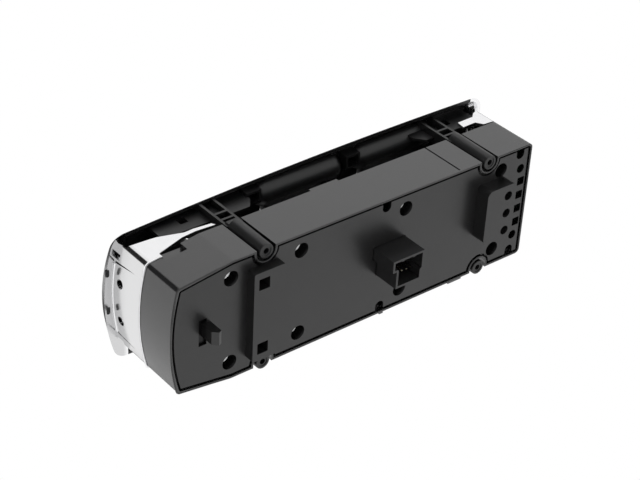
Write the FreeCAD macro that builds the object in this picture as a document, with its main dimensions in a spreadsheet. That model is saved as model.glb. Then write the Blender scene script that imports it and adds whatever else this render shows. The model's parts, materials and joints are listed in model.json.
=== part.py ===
import FreeCAD, Part
import os
import Sketcher
from FreeCAD import Placement, Rotation, Vector

# Driver's window switch panel, seen from behind in its photograph.
# X runs along the panel, towards the bright rounded end. Z runs from the screw pillars' ends,
# at 0, to the operating face. The origin is the centre of the four screw pillars.

DOC = FreeCAD.newDocument("window_switch_panel")
SHEET = DOC.addObject("Spreadsheet::Sheet", "Sizes")


class Size:
    """A number together with the sheet formula that gives it."""

    def __init__(self, value, text):
        self.value = float(value)
        self.text = text

    def __add__(self, other):
        return Size(self.value + number(other), f"({self.text} + {formula(other)})")

    def __radd__(self, other):
        return Size(number(other) + self.value, f"({formula(other)} + {self.text})")

    def __sub__(self, other):
        return Size(self.value - number(other), f"({self.text} - {formula(other)})")

    def __rsub__(self, other):
        return Size(number(other) - self.value, f"({formula(other)} - {self.text})")

    def __mul__(self, other):
        return Size(self.value * number(other), f"({self.text} * {formula(other)})")

    def __rmul__(self, other):
        return Size(number(other) * self.value, f"({formula(other)} * {self.text})")

    def __truediv__(self, other):
        return Size(self.value / number(other), f"({self.text} / {formula(other)})")

    def __neg__(self):
        return Size(-self.value, f"(0 - {self.text})")


def number(item):
    return item.value if isinstance(item, Size) else float(item)


def formula(item):
    return item.text if isinstance(item, Size) else repr(float(item))


ROWS = [0]


def size(alias, value, note):
    """One driving dimension: a row of the sheet with its alias and what it measures."""
    ROWS[0] += 1
    row = ROWS[0]
    SHEET.set(f"A{row}", note)
    SHEET.set(f"B{row}", str(value))
    SHEET.setAlias(f"B{row}", alias)
    return Size(value, f"Sizes.{alias}")


# Housing and rear cover
house_rear = size("house_rear", 90.5, "origin to the housing's square end")
house_front = size("house_front", 107.9, "origin to the housing's bowed end, at its corners")
house_bow = size("house_bow", 3.4, "how far the bowed end stands out at its middle")
house_half = size("house_half", 30.4, "half of the housing's width")
taper_start = size("taper_start", 80.0, "origin to where the sides start to narrow")
house_end_half = size("house_end_half", 26.8, "half of the width at the bowed end's corners")
house_corner = size("house_corner", 2.4, "radius of the housing's corners")
house_deep = size("house_deep", 24.5, "depth of the housing")
house_step = size("house_step", 21.8, "depth of the housing under the bright end cap")
step_start = size("step_start", 99.8, "origin to the step under the bright end cap")
recess_side = size("recess_side", 10.3, "length of the recess in each side behind the step")
recess_in = size("recess_in", 3.6, "how far that recess reaches in from the widest side")
seam_x = size("seam_x", -45.6, "seam in the housing's sides")
lug_x = size("lug_x", 13.0, "middle of the lugs on the housing's upper edge")
lug_half = size("lug_half", 7.8, "half of a lug's length")
tab_x = size("tab_x", -49.2, "middle of the tab on the lower edge")
tab_half = size("tab_half", 4.1, "half of the tab's length")
tab_out = size("tab_out", 1.1, "how far the tab stands out")
nub_x = size("nub_x", -4.2, "middle of the nub on the lower edge")
deck = size("deck", 2.2, "thickness of the housing's front deck")
rim = size("rim", 1.0, "thickness of the housing's rim round the cover")
groove = size("groove", 1.2, "width of the groove round the cover")
ledge = size("ledge", 0.6, "width of the ledge that the cover seats on")
cover_sink = size("cover_sink", 0.3, "how far the cover lies below the rim")
cover_thick = size("cover_thick", 2.2, "thickness of the cover plate")

# Screw pillars and the channels that they stand in
pillar_x = size("pillar_x", 63.3, "half of the pillars' spacing along the panel")
pillar_in = size("pillar_in", 1.6, "housing's side to the pillars' axes")
pillar_tip = size("pillar_tip", 3.5, "radius of a pillar at its end")
pillar_root = size("pillar_root", 3.9, "radius of a pillar at its bracket")
pillar_over = size("pillar_over", 2.4, "how far a pillar runs up into its bracket")
pillar_bore = size("pillar_bore", 1.4, "radius of the screw hole in a pillar")
pillar_bore_deep = size("pillar_bore_deep", 14.0, "depth of the screw hole in a pillar")
pillar_gap = size("pillar_gap", 1.4, "gap between a pillar and its channel")
bracket_z = size("bracket_z", 22.0, "height where the pillar's bracket starts")
bracket_out = size("bracket_out", 1.6, "pillars' axes to the bracket's face")
bracket_pitch = size("bracket_pitch", 5.0, "spacing of the bracket's bars")
bracket_half = size("bracket_half", 4.2, "half of the bracket's width")
bracket_plate = size("bracket_plate", 1.2, "thickness of the bracket's plates")
bracket_deep = size("bracket_deep", 7.0, "depth of the bracket across the panel")
bracket_foot = size("bracket_foot", 3.2, "depth of the bracket inside the pillar's channel")

# Bezel
over_rear = size("over_rear", 7.5, "how far the bezel overhangs the housing's square end")
over_front = size("over_front", 3.6, "how far the bezel overhangs the bowed end's corners")
over_high = size("over_high", 3.4, "overhang on the upper side, where the bezel is widest")
over_high_front = size("over_high_front", 2.6, "overhang on the upper side at the bowed end")
over_high_rear = size("over_high_rear", 3.0, "overhang on the upper side at the square end")
over_low = size("over_low", 4.4, "overhang on the lower side, where the bezel is widest")
over_low_end = size("over_low_end", 3.8, "overhang on the lower side at both ends")
bezel_bow = size("bezel_bow", 3.8, "how far the bezel's bowed end stands out")
bezel_rear_bow = size("bezel_rear_bow", 1.2, "how far the bezel's square end stands out")
bezel_widest = size("bezel_widest", -50.0, "where the bezel is widest")
bezel_corner = size("bezel_corner", 7.0, "radius of the bezel's corners")
bezel_rim = size("bezel_rim", 43.2, "height of the bezel's rim")
bezel_top = size("bezel_top", 48.6, "height of the operating face")
bezel_wall = size("bezel_wall", 1.8, "wall of the bezel")
bezel_round = size("bezel_round", 2.0, "radius along the edge of the operating face")
side_lean = size("side_lean", 4.7, "how far the bezel's long sides lean in from rim to face")
end_lean = size("end_lean", 1.9, "how far the bezel's ends lean in from rim to face")
cap_start = size("cap_start", 104.0, "origin to the bright rim of the bowed end")
rear_cap_start = size("rear_cap_start", 90.8, "origin to the bright rim of the square end")
cap_wall = size("cap_wall", 1.5, "wall of the bright caps")
rim_plate = size("rim_plate", 1.4, "thickness of the plate that closes a cap to its rim")
rim_sink = size("rim_sink", 0.6, "how far that plate stops short of the rim's edge")
cap_hole = size("cap_hole", 2.2, "radius of the holes in the bowed end")
cap_hole_y = size("cap_hole_y", 9.6, "half of those holes' spacing")
cap_hole_mid = size("cap_hole_mid", -0.6, "midway between those holes, across the panel")
cap_hole_z = size("cap_hole_z", 37.8, "height of those holes")
rim_hole_mid = size("rim_hole_mid", 2.7, "midway between the holes in the bowed rim's underside")
rim_hole_x = size("rim_hole_x", 113.4, "middle of the holes in the bowed rim's underside")
rim_hole = size("rim_hole", 0.9, "half of the width of the holes in the rim's underside")
rim_hole_long = size("rim_hole_long", 1.9, "half of those holes' length")
cap_lift = size("cap_lift", 0.4, "seam between the bowed end's cap and the housing's step")
slit_y = size("slit_y", 18.5, "half of the spacing of the slits in the bowed end")
slit_mid = size("slit_mid", -1.2, "midway between those slits, across the panel")
slit_half = size("slit_half", 0.5, "half of a slit's width at its open end")
slit_long = size("slit_long", 15.0, "length of the slits in the bowed end")
gate_y = size("gate_y", 22.6, "half of the spacing of the windows in the bowed end")
gate_mid = size("gate_mid", -2.4, "midway between those windows, across the panel")
gate_half = size("gate_half", 1.4, "half of a window's width")
gate_tall = size("gate_tall", 3.0, "height of a window")
scoop_half = size("scoop_half", 25.0, "half of a finger scoop's length")
scoop_y = size("scoop_y", 22.2, "distance of a finger scoop from the middle")
scoop_z = size("scoop_z", 46.8, "height of a finger scoop's axis")
scoop_bulge = size("scoop_bulge", 6.7, "outer radius of a finger scoop")
scoop_wall = size("scoop_wall", 1.6, "wall of a finger scoop")
skirt_in = size("skirt_in", 3.4, "housing's side to the face of the bezel's inner skirts")
skirt_z = size("skirt_z", 33.6, "height of the inner skirts' lower edge")
skirt_step = size("skirt_step", 5.0, "how much higher the skirts' sloping ends finish")
skirt_wall = size("skirt_wall", 1.4, "wall of the inner skirts")
skirt_window_x = size("skirt_window_x", 77.5, "middle of the windows in the skirts by the bowed end")
clip_long = size("clip_long", 4.0, "half of a clip box's length")
clip_wide = size("clip_wide", 7.0, "width of a clip box across the panel")
clip_wall = size("clip_wall", 1.1, "wall of a clip box")
clip_z = size("clip_z", 40.6, "height of the clip boxes' open ends")
clip_far = size("clip_far", -16.6, "middle of the clip boxes between the rockers")
clip_near = size("clip_near", 39.6, "middle of the clip boxes behind the mirror buttons")
locator_x = size("locator_x", 59.0, "half of the locating posts' spacing along the panel")
locator_y = size("locator_y", 15.0, "half of the locating posts' spacing across the panel")
locator_radius = size("locator_radius", 1.9, "radius of a locating post")

# Window rockers
row_near = size("row_near", 12.0, "middle of the front pair of rockers")
row_far = size("row_far", -44.0, "middle of the rear pair of rockers")
rocker_half = size("rocker_half", 18.4, "half of a rocker's length")
rocker_inner = size("rocker_inner", 3.2, "distance of a rocker's inner edge from the middle")
rocker_outer = size("rocker_outer", 19.0, "distance of a rocker's lip from the middle")
rocker_proud = size("rocker_proud", 1.6, "how far a rocker's lip stands out of the bezel")
rocker_dish = size("rocker_dish", 2.9, "depth of the finger dish in a rocker")
lip_round = size("lip_round", 1.5, "size of a rocker's rounded lip")
rib_half = size("rib_half", 0.7, "half of a rib's thickness inside a rocker")
rocker_wall = size("rocker_wall", 1.6, "wall of a rocker's cap")
rocker_skirt = size("rocker_skirt", 5.4, "height of a rocker's cap")
pivot_y = size("pivot_y", 8.6, "distance of a rocker's pivot from the middle")
pivot_z = size("pivot_z", 41.5, "height of a rocker's pivot")
pin_radius = size("pin_radius", 1.25, "radius of a rocker's pin")
running = size("running", 0.05, "running clearance of a pivot")
hub_radius = size("hub_radius", 2.8, "radius of a rocker's hub")
ear_radius = size("ear_radius", 3.0, "radius of the ears' round ends")
tower_room = size("tower_room", 4.4, "ears to the outside of the frame under the rockers")
tower_wall = size("tower_wall", 1.6, "wall of the frame under the rockers")
ear_thick = size("ear_thick", 2.0, "thickness of an ear that holds a rocker's pin")
ear_gap = size("ear_gap", 0.3, "clearance between an ear and a rocker")
ball_over = size("ball_over", 1.6, "gap between the ball and the floor of its slider")
arm_wide = size("arm_wide", 3.0, "width of a rocker's arm along the panel")
arm_thick = size("arm_thick", 2.2, "thickness of a rocker's arm")
ball_radius = size("ball_radius", 1.5, "radius of the ball on a rocker's arm")
end_gap = size("end_gap", 0.8, "gap at each end of a rocker in its opening")
travel_gap = size("travel_gap", 1.2, "room for a rocker's tilt in its opening")

# Board, sliders and contacts
board_z = size("board_z", 11.0, "height of the circuit board's rear face")
board_thick = size("board_thick", 1.6, "thickness of the circuit board")
board_gap = size("board_gap", 0.5, "clearance between the board and the housing")
board_post_x = size("board_post_x", 33.0, "half of the spacing of the posts that grip the board")
board_post_in = size("board_post_in", 6.0, "housing's side to the posts that grip the board")
board_post_radius = size("board_post_radius", 1.8, "radius of the posts that grip the board")
fit_gap = size("fit_gap", 0.3, "clearance of parts that slide past one another")
slider_long = size("slider_long", 9.0, "length of a contact slider, across the panel")
slider_wide = size("slider_wide", 7.0, "width of a contact slider")
slider_floor = size("slider_floor", 2.0, "thickness of a slider under its slot")
slider_grip = size("slider_grip", 1.3, "how far a slider's walls reach above the ball's middle")
contact_half = size("contact_half", 1.0, "half of a slider's contact notch")
mat_thick = size("mat_thick", 0.8, "thickness of the rubber contact mats")
mat_edge = size("mat_edge", 4.4, "middle of the outer domes to the mats' edges")
mat_corner = size("mat_corner", 1.5, "radius of the mats' corners")
dome_tall = size("dome_tall", 2.4, "height of a rubber dome")
dome_radius = size("dome_radius", 2.6, "radius of a rubber dome at its foot")

# Rear cover's features
bridge_x = size("bridge_x", 64.3, "middle of the bridge pad")
bridge_long = size("bridge_long", 8.1, "half of the bridge pad's width along the panel")
bridge_wide = size("bridge_wide", 22.7, "half of the bridge pad's length across the panel")
bridge_tall = size("bridge_tall", 4.7, "pillars' ends to the bridge pad's face")
bridge_window_y = size("bridge_window_y", 16.6, "distance of the bridge pad's windows from the middle")
window_half = size("window_half", 2.8, "half of a bridge pad window's width")
block_x = size("block_x", -66.5, "middle of the raised block")
block_y = size("block_y", 3.8, "middle of the raised block across the panel")
block_long = size("block_long", 8.9, "half of the raised block's width along the panel")
block_wide = size("block_wide", 14.2, "half of the raised block's length across the panel")
block_tall = size("block_tall", 7.2, "pillars' ends to the raised block's face")
block_corner = size("block_corner", 3.0, "radius of the raised block's corners")
block_hole_x = size("block_hole_x", -70.6, "row of holes in the raised block")
block_hole_pitch = size("block_hole_pitch", 9.4, "spacing of the holes in the raised block")
block_hole_deep = size("block_hole_deep", 3.2, "depth of the holes in the raised block")
round_hole = size("round_hole", 2.3, "radius of the cover's round holes")
end_hole_x = size("end_hole_x", -84.6, "round holes beside the square end")
end_hole_y = size("end_hole_y", 18.3, "distance of the round end holes from the middle")
slot_x = size("slot_x", -85.7, "row of square windows beside the square end")
slot_half = size("slot_half", 2.1, "half of a square window's width")
slot_pitch = size("slot_pitch", 7.45, "spacing of the square windows")
notch_radius = size("notch_radius", 2.4, "radius of the notches in the cover's edges")
notch_in = size("notch_in", 4.1, "housing's side to the middle of the edge notches")
notch_rear = size("notch_rear", -83.4, "edge notches beside the square end")
notch_middle = size("notch_middle", -2.7, "edge notches near the middle")
recess_x = size("recess_x", 94.85, "middle of the locating post's recess")
recess_long = size("recess_long", 1.95, "half of the recess's width along the panel")
recess_wide = size("recess_wide", 6.65, "half of the recess's length across the panel")
recess_deep = size("recess_deep", 1.2, "depth of the locating post's recess")
post_x = size("post_x", 93.0, "middle of the locating post")
post_half = size("post_half", 2.0, "half of the locating post's width along the panel")
post_wide = size("post_wide", 6.6, "length of the locating post across the panel")
post_tall = size("post_tall", 8.4, "pillars' ends to the locating post's tip")
post_y = size("post_y", 1.1, "middle of the locating post across the panel")

# Screws
screw_in = size("screw_in", 8.8, "housing's side to the cover screws' axes")
screw_well = size("screw_well", 3.65, "radius of the wells that the cover screws sit in")
well_wall = size("well_wall", 0.8, "wall of a screw well")
well_deep = size("well_deep", 9.0, "height where the screw wells end")
well_floor = size("well_floor", 1.8, "floor of a screw well")
head_radius = size("head_radius", 3.0, "radius of a screw's head")
head_tall = size("head_tall", 2.3, "height of a screw's head")
shank_radius = size("shank_radius", 1.25, "radius of a screw's shank")
shank_long = size("shank_long", 10.0, "length of a screw below its head")
drive_half = size("drive_half", 1.5, "half of the crossed recess in a screw's head")
drive_deep = size("drive_deep", 0.9, "depth of the crossed recess")
boss_radius = size("boss_radius", 2.9, "radius of the bosses that take the screws")

# Buttons
button_travel = size("button_travel", 1.4, "travel of the push buttons")
button_gap = size("button_gap", 0.5, "gap round a button in the bezel")
button_proud = size("button_proud", 1.0, "how far a button stands out of the bezel")
button_cap = size("button_cap", 6.0, "height of a button's cap")
button_corner = size("button_corner", 1.2, "radius of a button's corners")
guide_wall = size("guide_wall", 1.3, "wall of a button's guide")
guide_tall = size("guide_tall", 7.0, "height of a button's guide above the deck")
button_round = size("button_round", 0.5, "radius along the edge of a button's face")
stem_half = size("stem_half", 1.7, "half of the width of a button's stem")
select_x = size("select_x", 55.4, "middle of the mirror selector buttons")
select_y = size("select_y", 9.2, "distance of a selector button from the middle")
select_long = size("select_long", 4.0, "half of a selector button's length")
select_wide = size("select_wide", 6.6, "half of a selector button's width")
fold_x = size("fold_x", 98.4, "middle of the mirror folding button")
fold_long = size("fold_long", 3.6, "half of the folding button's length")
fold_wide = size("fold_wide", 8.0, "half of the folding button's width")
lock_x = size("lock_x", -82.0, "middle of the rear window lock button")
lock_long = size("lock_long", 5.0, "half of the lock button's length")
lock_wide = size("lock_wide", 8.0, "half of the lock button's width")

# Mirror adjuster
pad_x = size("pad_x", 77.5, "middle of the mirror adjuster pad")
pad_radius = size("pad_radius", 13.0, "radius of the mirror adjuster pad")
pad_gap = size("pad_gap", 0.9, "gap round the mirror pad in its opening")
pad_thick = size("pad_thick", 4.2, "thickness of the mirror adjuster pad")
pad_pivot_z = size("pad_pivot_z", 42.0, "height of the mirror pad's pivots")
ring_half = size("ring_half", 8.0, "half of the pivot ring's width")
ring_bar = size("ring_bar", 2.6, "width of the pivot ring's bars")
ring_tall = size("ring_tall", 3.4, "height of the pivot ring")
pad_post = size("pad_post", 2.4, "thickness of the posts that carry the pivot ring")
trunnion = size("trunnion", 1.1, "radius of the ring's and the pad's trunnions")
stick_radius = size("stick_radius", 1.8, "radius of the mirror pad's stick")
stick_end = size("stick_end", 16.5, "height of the stick's end above the pillars' ends")

# Connector
plug_x = size("plug_x", -6.55, "middle of the connector's shaft along the panel")
plug_half = size("plug_half", 7.35, "half of the connector's narrow part")
plug_step = size("plug_step", 2.3, "step in the connector's left side")
plug_notch = size("plug_notch", 1.0, "step in the connector's right side")
plug_high = size("plug_high", 7.0, "middle to the connector's upper wall")
plug_low = size("plug_low", 8.1, "middle to the connector's lower wall")
plug_step_y = size("plug_step_y", 0.9, "where the left side steps")
plug_notch_y = size("plug_notch_y", 3.1, "middle to where the right side steps")
plug_room = size("plug_room", 0.4, "gap between the connector and the cover's window")
plug_z = size("plug_z", -13.2, "height of the connector's mouth")
plug_wall = size("plug_wall", 1.1, "wall of the connector shroud")
plug_floor = size("plug_floor", 2.4, "height of the connector's floor")
pin_half = size("pin_half", 0.32, "half of a connector pin's width")
pin_pitch = size("pin_pitch", 2.5, "spacing of the connector pins")
pin_end = size("pin_end", -8.5, "height of the connector pins' ends")
guide_reach = size("guide_reach", 14.0, "middle of the outer rockers to the light guide's ends")
guide_gap = size("guide_gap", 2.4, "gap between the light guide and the bezel")
lamp_x = size("lamp_x", 11.0, "middle of a row of rockers to its lamps")
lamp_half = size("lamp_half", 0.8, "half of a lamp's length")
lamp_tall = size("lamp_tall", 0.9, "height of a lamp")
chip_x = size("chip_x", 43.8, "middle of the controller")
chip_half = size("chip_half", 4.7, "half of the controller's width")
chip_tall = size("chip_tall", 1.4, "height of the controller")
guide_half = size("guide_half", 0.7, "half of the light guide's thickness")

bezel_rear = house_rear + over_rear
bezel_front = house_front + over_front
pillar_y = house_half - pillar_in
screw_half = house_half - screw_in
skirt_y = house_half - skirt_in
notch_y = house_half - notch_in
board_post_y = house_half - board_post_in

SCREW_X = [
    size("screw_a", 80.8, "first pair of cover screws"),
    size("screw_b", 44.2, "second pair of cover screws"),
    size("screw_c", -14.1, "third pair of cover screws"),
    size("screw_d", -71.75, "fourth pair of cover screws"),
]
ROWS_OF_ROCKERS = {"front": row_near, "rear": row_far}
SIDES = {"left": 1, "right": -1}

AXES = {
    "x": Rotation(Vector(0, 1, 0), 90),
    "y": Rotation(Vector(1, 0, 0), -90),
    "z": Rotation(),
}
PLANES = {
    "xy": (Rotation(), Vector(0, 0, 1)),
    "yz": (Rotation(Vector(0, 1, 0), Vector(0, 0, 1), Vector(1, 0, 0)), Vector(1, 0, 0)),
    "xz": (Rotation(Vector(1, 0, 0), Vector(0, 0, 1), Vector(0, -1, 0)), Vector(0, 1, 0)),
}
COUNT = [0]


def add(kind, name):
    COUNT[0] += 1
    return DOC.addObject(kind, f"{name}_{COUNT[0]}")


def bind(item, prop, value):
    if isinstance(value, Size):
        item.setExpression(prop, value.text)
    else:
        setattr(item, prop, value)


def place(item, x=0, y=0, z=0):
    item.Placement = Placement(Vector(number(x), number(y), number(z)), item.Placement.Rotation)
    for letter, value in zip("xyz", (x, y, z)):
        if isinstance(value, Size):
            item.setExpression(f"Placement.Base.{letter}", value.text)
    return item


def box(x0, x1, y0, y1, z0, z1, name="block"):
    """A block between two corners, given in any order across Y."""
    if number(y0) > number(y1):
        y0, y1 = y1, y0
    if number(x0) > number(x1):
        x0, x1 = x1, x0
    item = add("Part::Box", name)
    bind(item, "Length", x1 - x0)
    bind(item, "Width", y1 - y0)
    bind(item, "Height", z1 - z0)
    return place(item, x0, y0, z0)


def rod(x, y, z, length, radius, axis="z", name="rod"):
    item = add("Part::Cylinder", name)
    bind(item, "Radius", radius)
    bind(item, "Height", length)
    item.Placement = Placement(Vector(), AXES[axis])
    return place(item, x, y, z)


def cone(x, y, z, length, radius, end_radius, name="cone"):
    item = add("Part::Cone", name)
    bind(item, "Radius1", radius)
    bind(item, "Radius2", end_radius)
    bind(item, "Height", length)
    return place(item, x, y, z)


def ball(x, y, z, radius, name="ball"):
    item = add("Part::Sphere", name)
    bind(item, "Radius", radius)
    return place(item, x, y, z)


def fuse(parts, name="joined"):
    item = add("Part::MultiFuse", name)
    item.Shapes = parts
    item.Refine = True
    return item


def cut(base, tools, name="cut"):
    item = add("Part::Cut", name)
    item.Base = base
    item.Tool = tools[0] if len(tools) == 1 else fuse(tools, name + "_tools")
    item.Refine = True
    return item


def common(first, second, name="shared"):
    item = add("Part::MultiCommon", name)
    item.Shapes = [first, second]
    item.Refine = True
    return item


def outline(points, plane="xy", name="outline"):
    """A closed sketch. Each entry is a corner (a, b), or (a, b, via_a, via_b) where the stretch
    from the corner to the next one is an arc through the via point."""
    sketch = add("Sketcher::SketchObject", name)
    sketch.Placement = Placement(Vector(), PLANES[plane][0])
    total = len(points)
    curves = []
    for i, point in enumerate(points):
        start = Vector(number(point[0]), number(point[1]), 0)
        after = points[(i + 1) % total]
        end = Vector(number(after[0]), number(after[1]), 0)
        if len(point) == 2:
            sketch.addGeometry(Part.LineSegment(start, end))
            curves.append((1, 2))
            continue
        via = Vector(number(point[2]), number(point[3]), 0)
        arc = Part.Arc(start, via, end)
        sketch.addGeometry(arc)
        turn = (via - start).cross(end - via).z
        curves.append((1, 2) if turn > 0 else (2, 1))
    for i, point in enumerate(points):
        for letter, value in zip("XY", point[:2]):
            pin_down(sketch, letter, i, curves[i][0], value)
    for i in range(total):
        after = (i + 1) % total
        sketch.addConstraint(Sketcher.Constraint("Coincident", i, curves[i][1], after, curves[after][0]))
    for i, point in enumerate(points):
        if len(point) > 2:
            mark = sketch.addGeometry(Part.Point(Vector(number(point[2]), number(point[3]), 0)), True)
            for letter, value in zip("XY", point[2:]):
                pin_down(sketch, letter, mark, 1, value)
            sketch.addConstraint(Sketcher.Constraint("PointOnObject", mark, 1, i))
    return sketch


def pin_down(sketch, letter, curve, end, value):
    """Fixes one coordinate of a point, and ties it to its formula where it has one."""
    kind = "Distance" + letter
    index = sketch.addConstraint(Sketcher.Constraint(kind, curve, end, number(value)))
    if isinstance(value, Size):
        sketch.setExpression(f"Constraints[{index}]", value.text)


def grow(source, amount, name="grown"):
    """The outline moved outwards by an amount, or inwards where it is negative."""
    item = add("Part::Offset2D", name)
    item.Source = source
    item.Join = "Arc"
    bind(item, "Value", amount)
    return item


def solid(source, start, end, plane="xy", name="prism", slope=None):
    """An outline drawn out along its plane's normal, from start to end."""
    item = add("Part::Extrusion", name)
    item.Base = source
    item.DirMode = "Custom"
    item.Dir = PLANES[plane][1]
    item.Solid = True
    bind(item, "LengthFwd", end - start)
    if slope is not None:
        bind(item, "TaperAngle", slope)
    shift = {"xy": (0, 0, start), "yz": (start, 0, 0), "xz": (0, start, 0)}[plane]
    return place(item, *shift)


def slab(x0, x1, y0, y1, z0, z1, radius, name="slab"):
    """A block with rounded upright corners."""
    if number(y0) > number(y1):
        y0, y1 = y1, y0
    face = outline([
        (x0 + radius, y0 + radius),
        (x1 - radius, y0 + radius),
        (x1 - radius, y1 - radius),
        (x0 + radius, y1 - radius),
    ], name=name + "_core")
    return solid(grow(face, radius), z0, z1, name=name)


def turned(profile, x=0, y=0, z=0, name="turned"):
    """A profile in the XZ plane turned about the upright axis."""
    item = add("Part::Revolution", name)
    item.Source = profile
    item.Axis = Vector(0, 0, 1)
    item.Angle = 360
    item.Solid = True
    return place(item, x, y, z)


def rounded(base, choose, radius, name="rounded"):
    """Rounds the edges that the test picks out."""
    DOC.recompute()
    item = add("Part::Fillet", name)
    item.Base = base
    picked = [i + 1 for i, edge in enumerate(base.Shape.Edges) if choose(edge)]
    item.Edges = [(i, number(radius), number(radius)) for i in picked]
    return item


def named(item, label):
    item.Label = label
    NODES.append(item)
    return item


def group(parts, name="group"):
    item = add("Part::Compound", name)
    item.Links = parts
    return item


NODES = []
SKIN = 0.01
FAR = 60
JOIN = 0.5
SINK = 0.1
PAST = 1
PAD_CORNER = 0.8
WINDOW_CORNER = 0.4
SCREW_ROOM = 0.3
DRIVE_THIN = 0.3
SEAM_HALF = 0.4
SEAM_DEEP = 0.9
SIDE_LOW = 2.6
ARM_SWING = 3.9
STICK_SWING = 3.2
SKIRT_SHORT = 15.9
SKIRT_PAST = 3.2
SKIRT_END = 2.5
LOCATOR_SHIFT = 12.8
DISH_EDGE = 2.2
NECK_IN = 1.6
COVER_SEAT = cover_sink + cover_thick
CHANNEL = pillar_tip + pillar_gap
EDGE_IN = rim + groove
LEDGE_IN = EDGE_IN + ledge
BOARD_TOP = board_z + board_thick
LONG = FAR * 3
CORNERS = [(sx, sy) for sx in (1, -1) for sy in (1, -1)]


def house_outline():
    """Square at one end and bowed at the other, with sides that narrow towards the bow."""
    inset = house_corner
    core = outline([
        (inset - house_rear, inset - house_half),
        (taper_start, inset - house_half),
        (house_front - inset, inset - house_end_half, house_front + house_bow - inset, 0),
        (house_front - inset, house_end_half - inset),
        (taper_start, house_half - inset),
        (inset - house_rear, house_half - inset),
    ], name="housing_outline")
    return core


HOUSE_CORE = house_outline()


def notched(inset, z0, z1, name="notched"):
    """The housing's form less an inset, with the four pillar channels cut out of it."""
    plan = solid(grow(HOUSE_CORE, house_corner - inset), z0, z1, name=name)
    reach = CHANNEL + inset
    channels = []
    for sx, sy in CORNERS:
        channels.append(rod(sx * pillar_x, sy * pillar_y, z0 - 1, z1 - z0 + 2, reach))
        channels.append(box(sx * pillar_x - reach, sx * pillar_x + reach,
                            sy * pillar_y, sy * (pillar_y + FAR), z0 - 1, z1 + 1))
    return cut(plan, channels, name)


DECK_UNDER = house_deep - deck
STEP_UNDER = house_step - deck
TOWER_X0 = row_far - rocker_half - 1
TOWER_X1 = row_near + rocker_half + 1
TOWER_Y = pivot_y + ear_radius + tower_room
TOWER_Z = pivot_z - ear_radius
GUIDE_X0 = row_far - guide_reach
GUIDE_X1 = row_near + guide_reach
STEM_HOLD = stem_half + fit_gap
EAR_IN = rocker_half - rocker_wall - ear_gap - ear_thick
BALL_Z = BOARD_TOP + fit_gap + slider_floor + ball_over + ball_radius
BUTTONS = {
    "mirror_select_left": (select_x, select_y, select_long, select_wide),
    "mirror_select_right": (select_x, -select_y, select_long, select_wide),
    "mirror_fold_button": (fold_x, 0, fold_long, fold_wide),
    "rear_lock_button": (lock_x, 0, lock_long, lock_wide),
}


def walls():
    """The housing's walls, lip and deck, with the step and notches beside the bright cap."""
    outer = notched(0, 0, house_deep, "housing_outer")
    mouth = notched(rim, -1, COVER_SEAT, "housing_mouth")
    room = notched(LEDGE_IN, COVER_SEAT - 1, DECK_UNDER, "housing_room")
    roof = box(step_start - deck, house_front + FAR, -FAR, FAR, STEP_UNDER, house_deep)
    tools = [mouth, cut(room, [roof], "stepped_room")]
    tools.append(box(step_start, house_front + FAR, -FAR, FAR, house_step, house_deep + 1, "step"))
    for side in (1, -1):
        face = side * house_half
        tools.append(box(step_start - recess_side, step_start + PAST, face - side * recess_in, face + side,
                         house_step - SIDE_LOW, house_deep + PAST, "side_notch"))
        tools.append(box(seam_x - SEAM_HALF, seam_x + SEAM_HALF, face - side * SEAM_DEEP, face + side,
                         cover_sink + JOIN, house_deep + PAST, "side_seam"))
        for x in SCREW_X:
            tools.append(rod(x, side * screw_half, COVER_SEAT - SINK, well_deep - COVER_SEAT + SINK,
                             screw_well + well_wall + fit_gap, name="well_pocket"))
    return cut(outer, tools, "housing_walls")


def tower():
    """The raised frame under the rockers, open inside for their arms."""
    inner = TOWER_Y - tower_wall
    frame = cut(
        box(TOWER_X0, TOWER_X1, -TOWER_Y, TOWER_Y, house_deep - 0.5, TOWER_Z, "tower"),
        [box(TOWER_X0 + tower_wall, TOWER_X1 - tower_wall, -inner, inner, house_deep - 1, TOWER_Z + 1)],
        "tower_frame")
    parts = [frame]
    for x in ROWS_OF_ROCKERS.values():
        for side in (1, -1):
            for end in (1, -1):
                near = x + end * EAR_IN
                far = near + end * ear_thick
                y = side * pivot_y
                parts.append(box(near, far, y - ear_radius, y + ear_radius, house_deep - 0.5, pivot_z,
                                 "ear"))
                parts.append(rod(min((near, far), key=number), y, pivot_z, ear_thick, ear_radius, "x",
                                 "ear_end"))
    return parts


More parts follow.
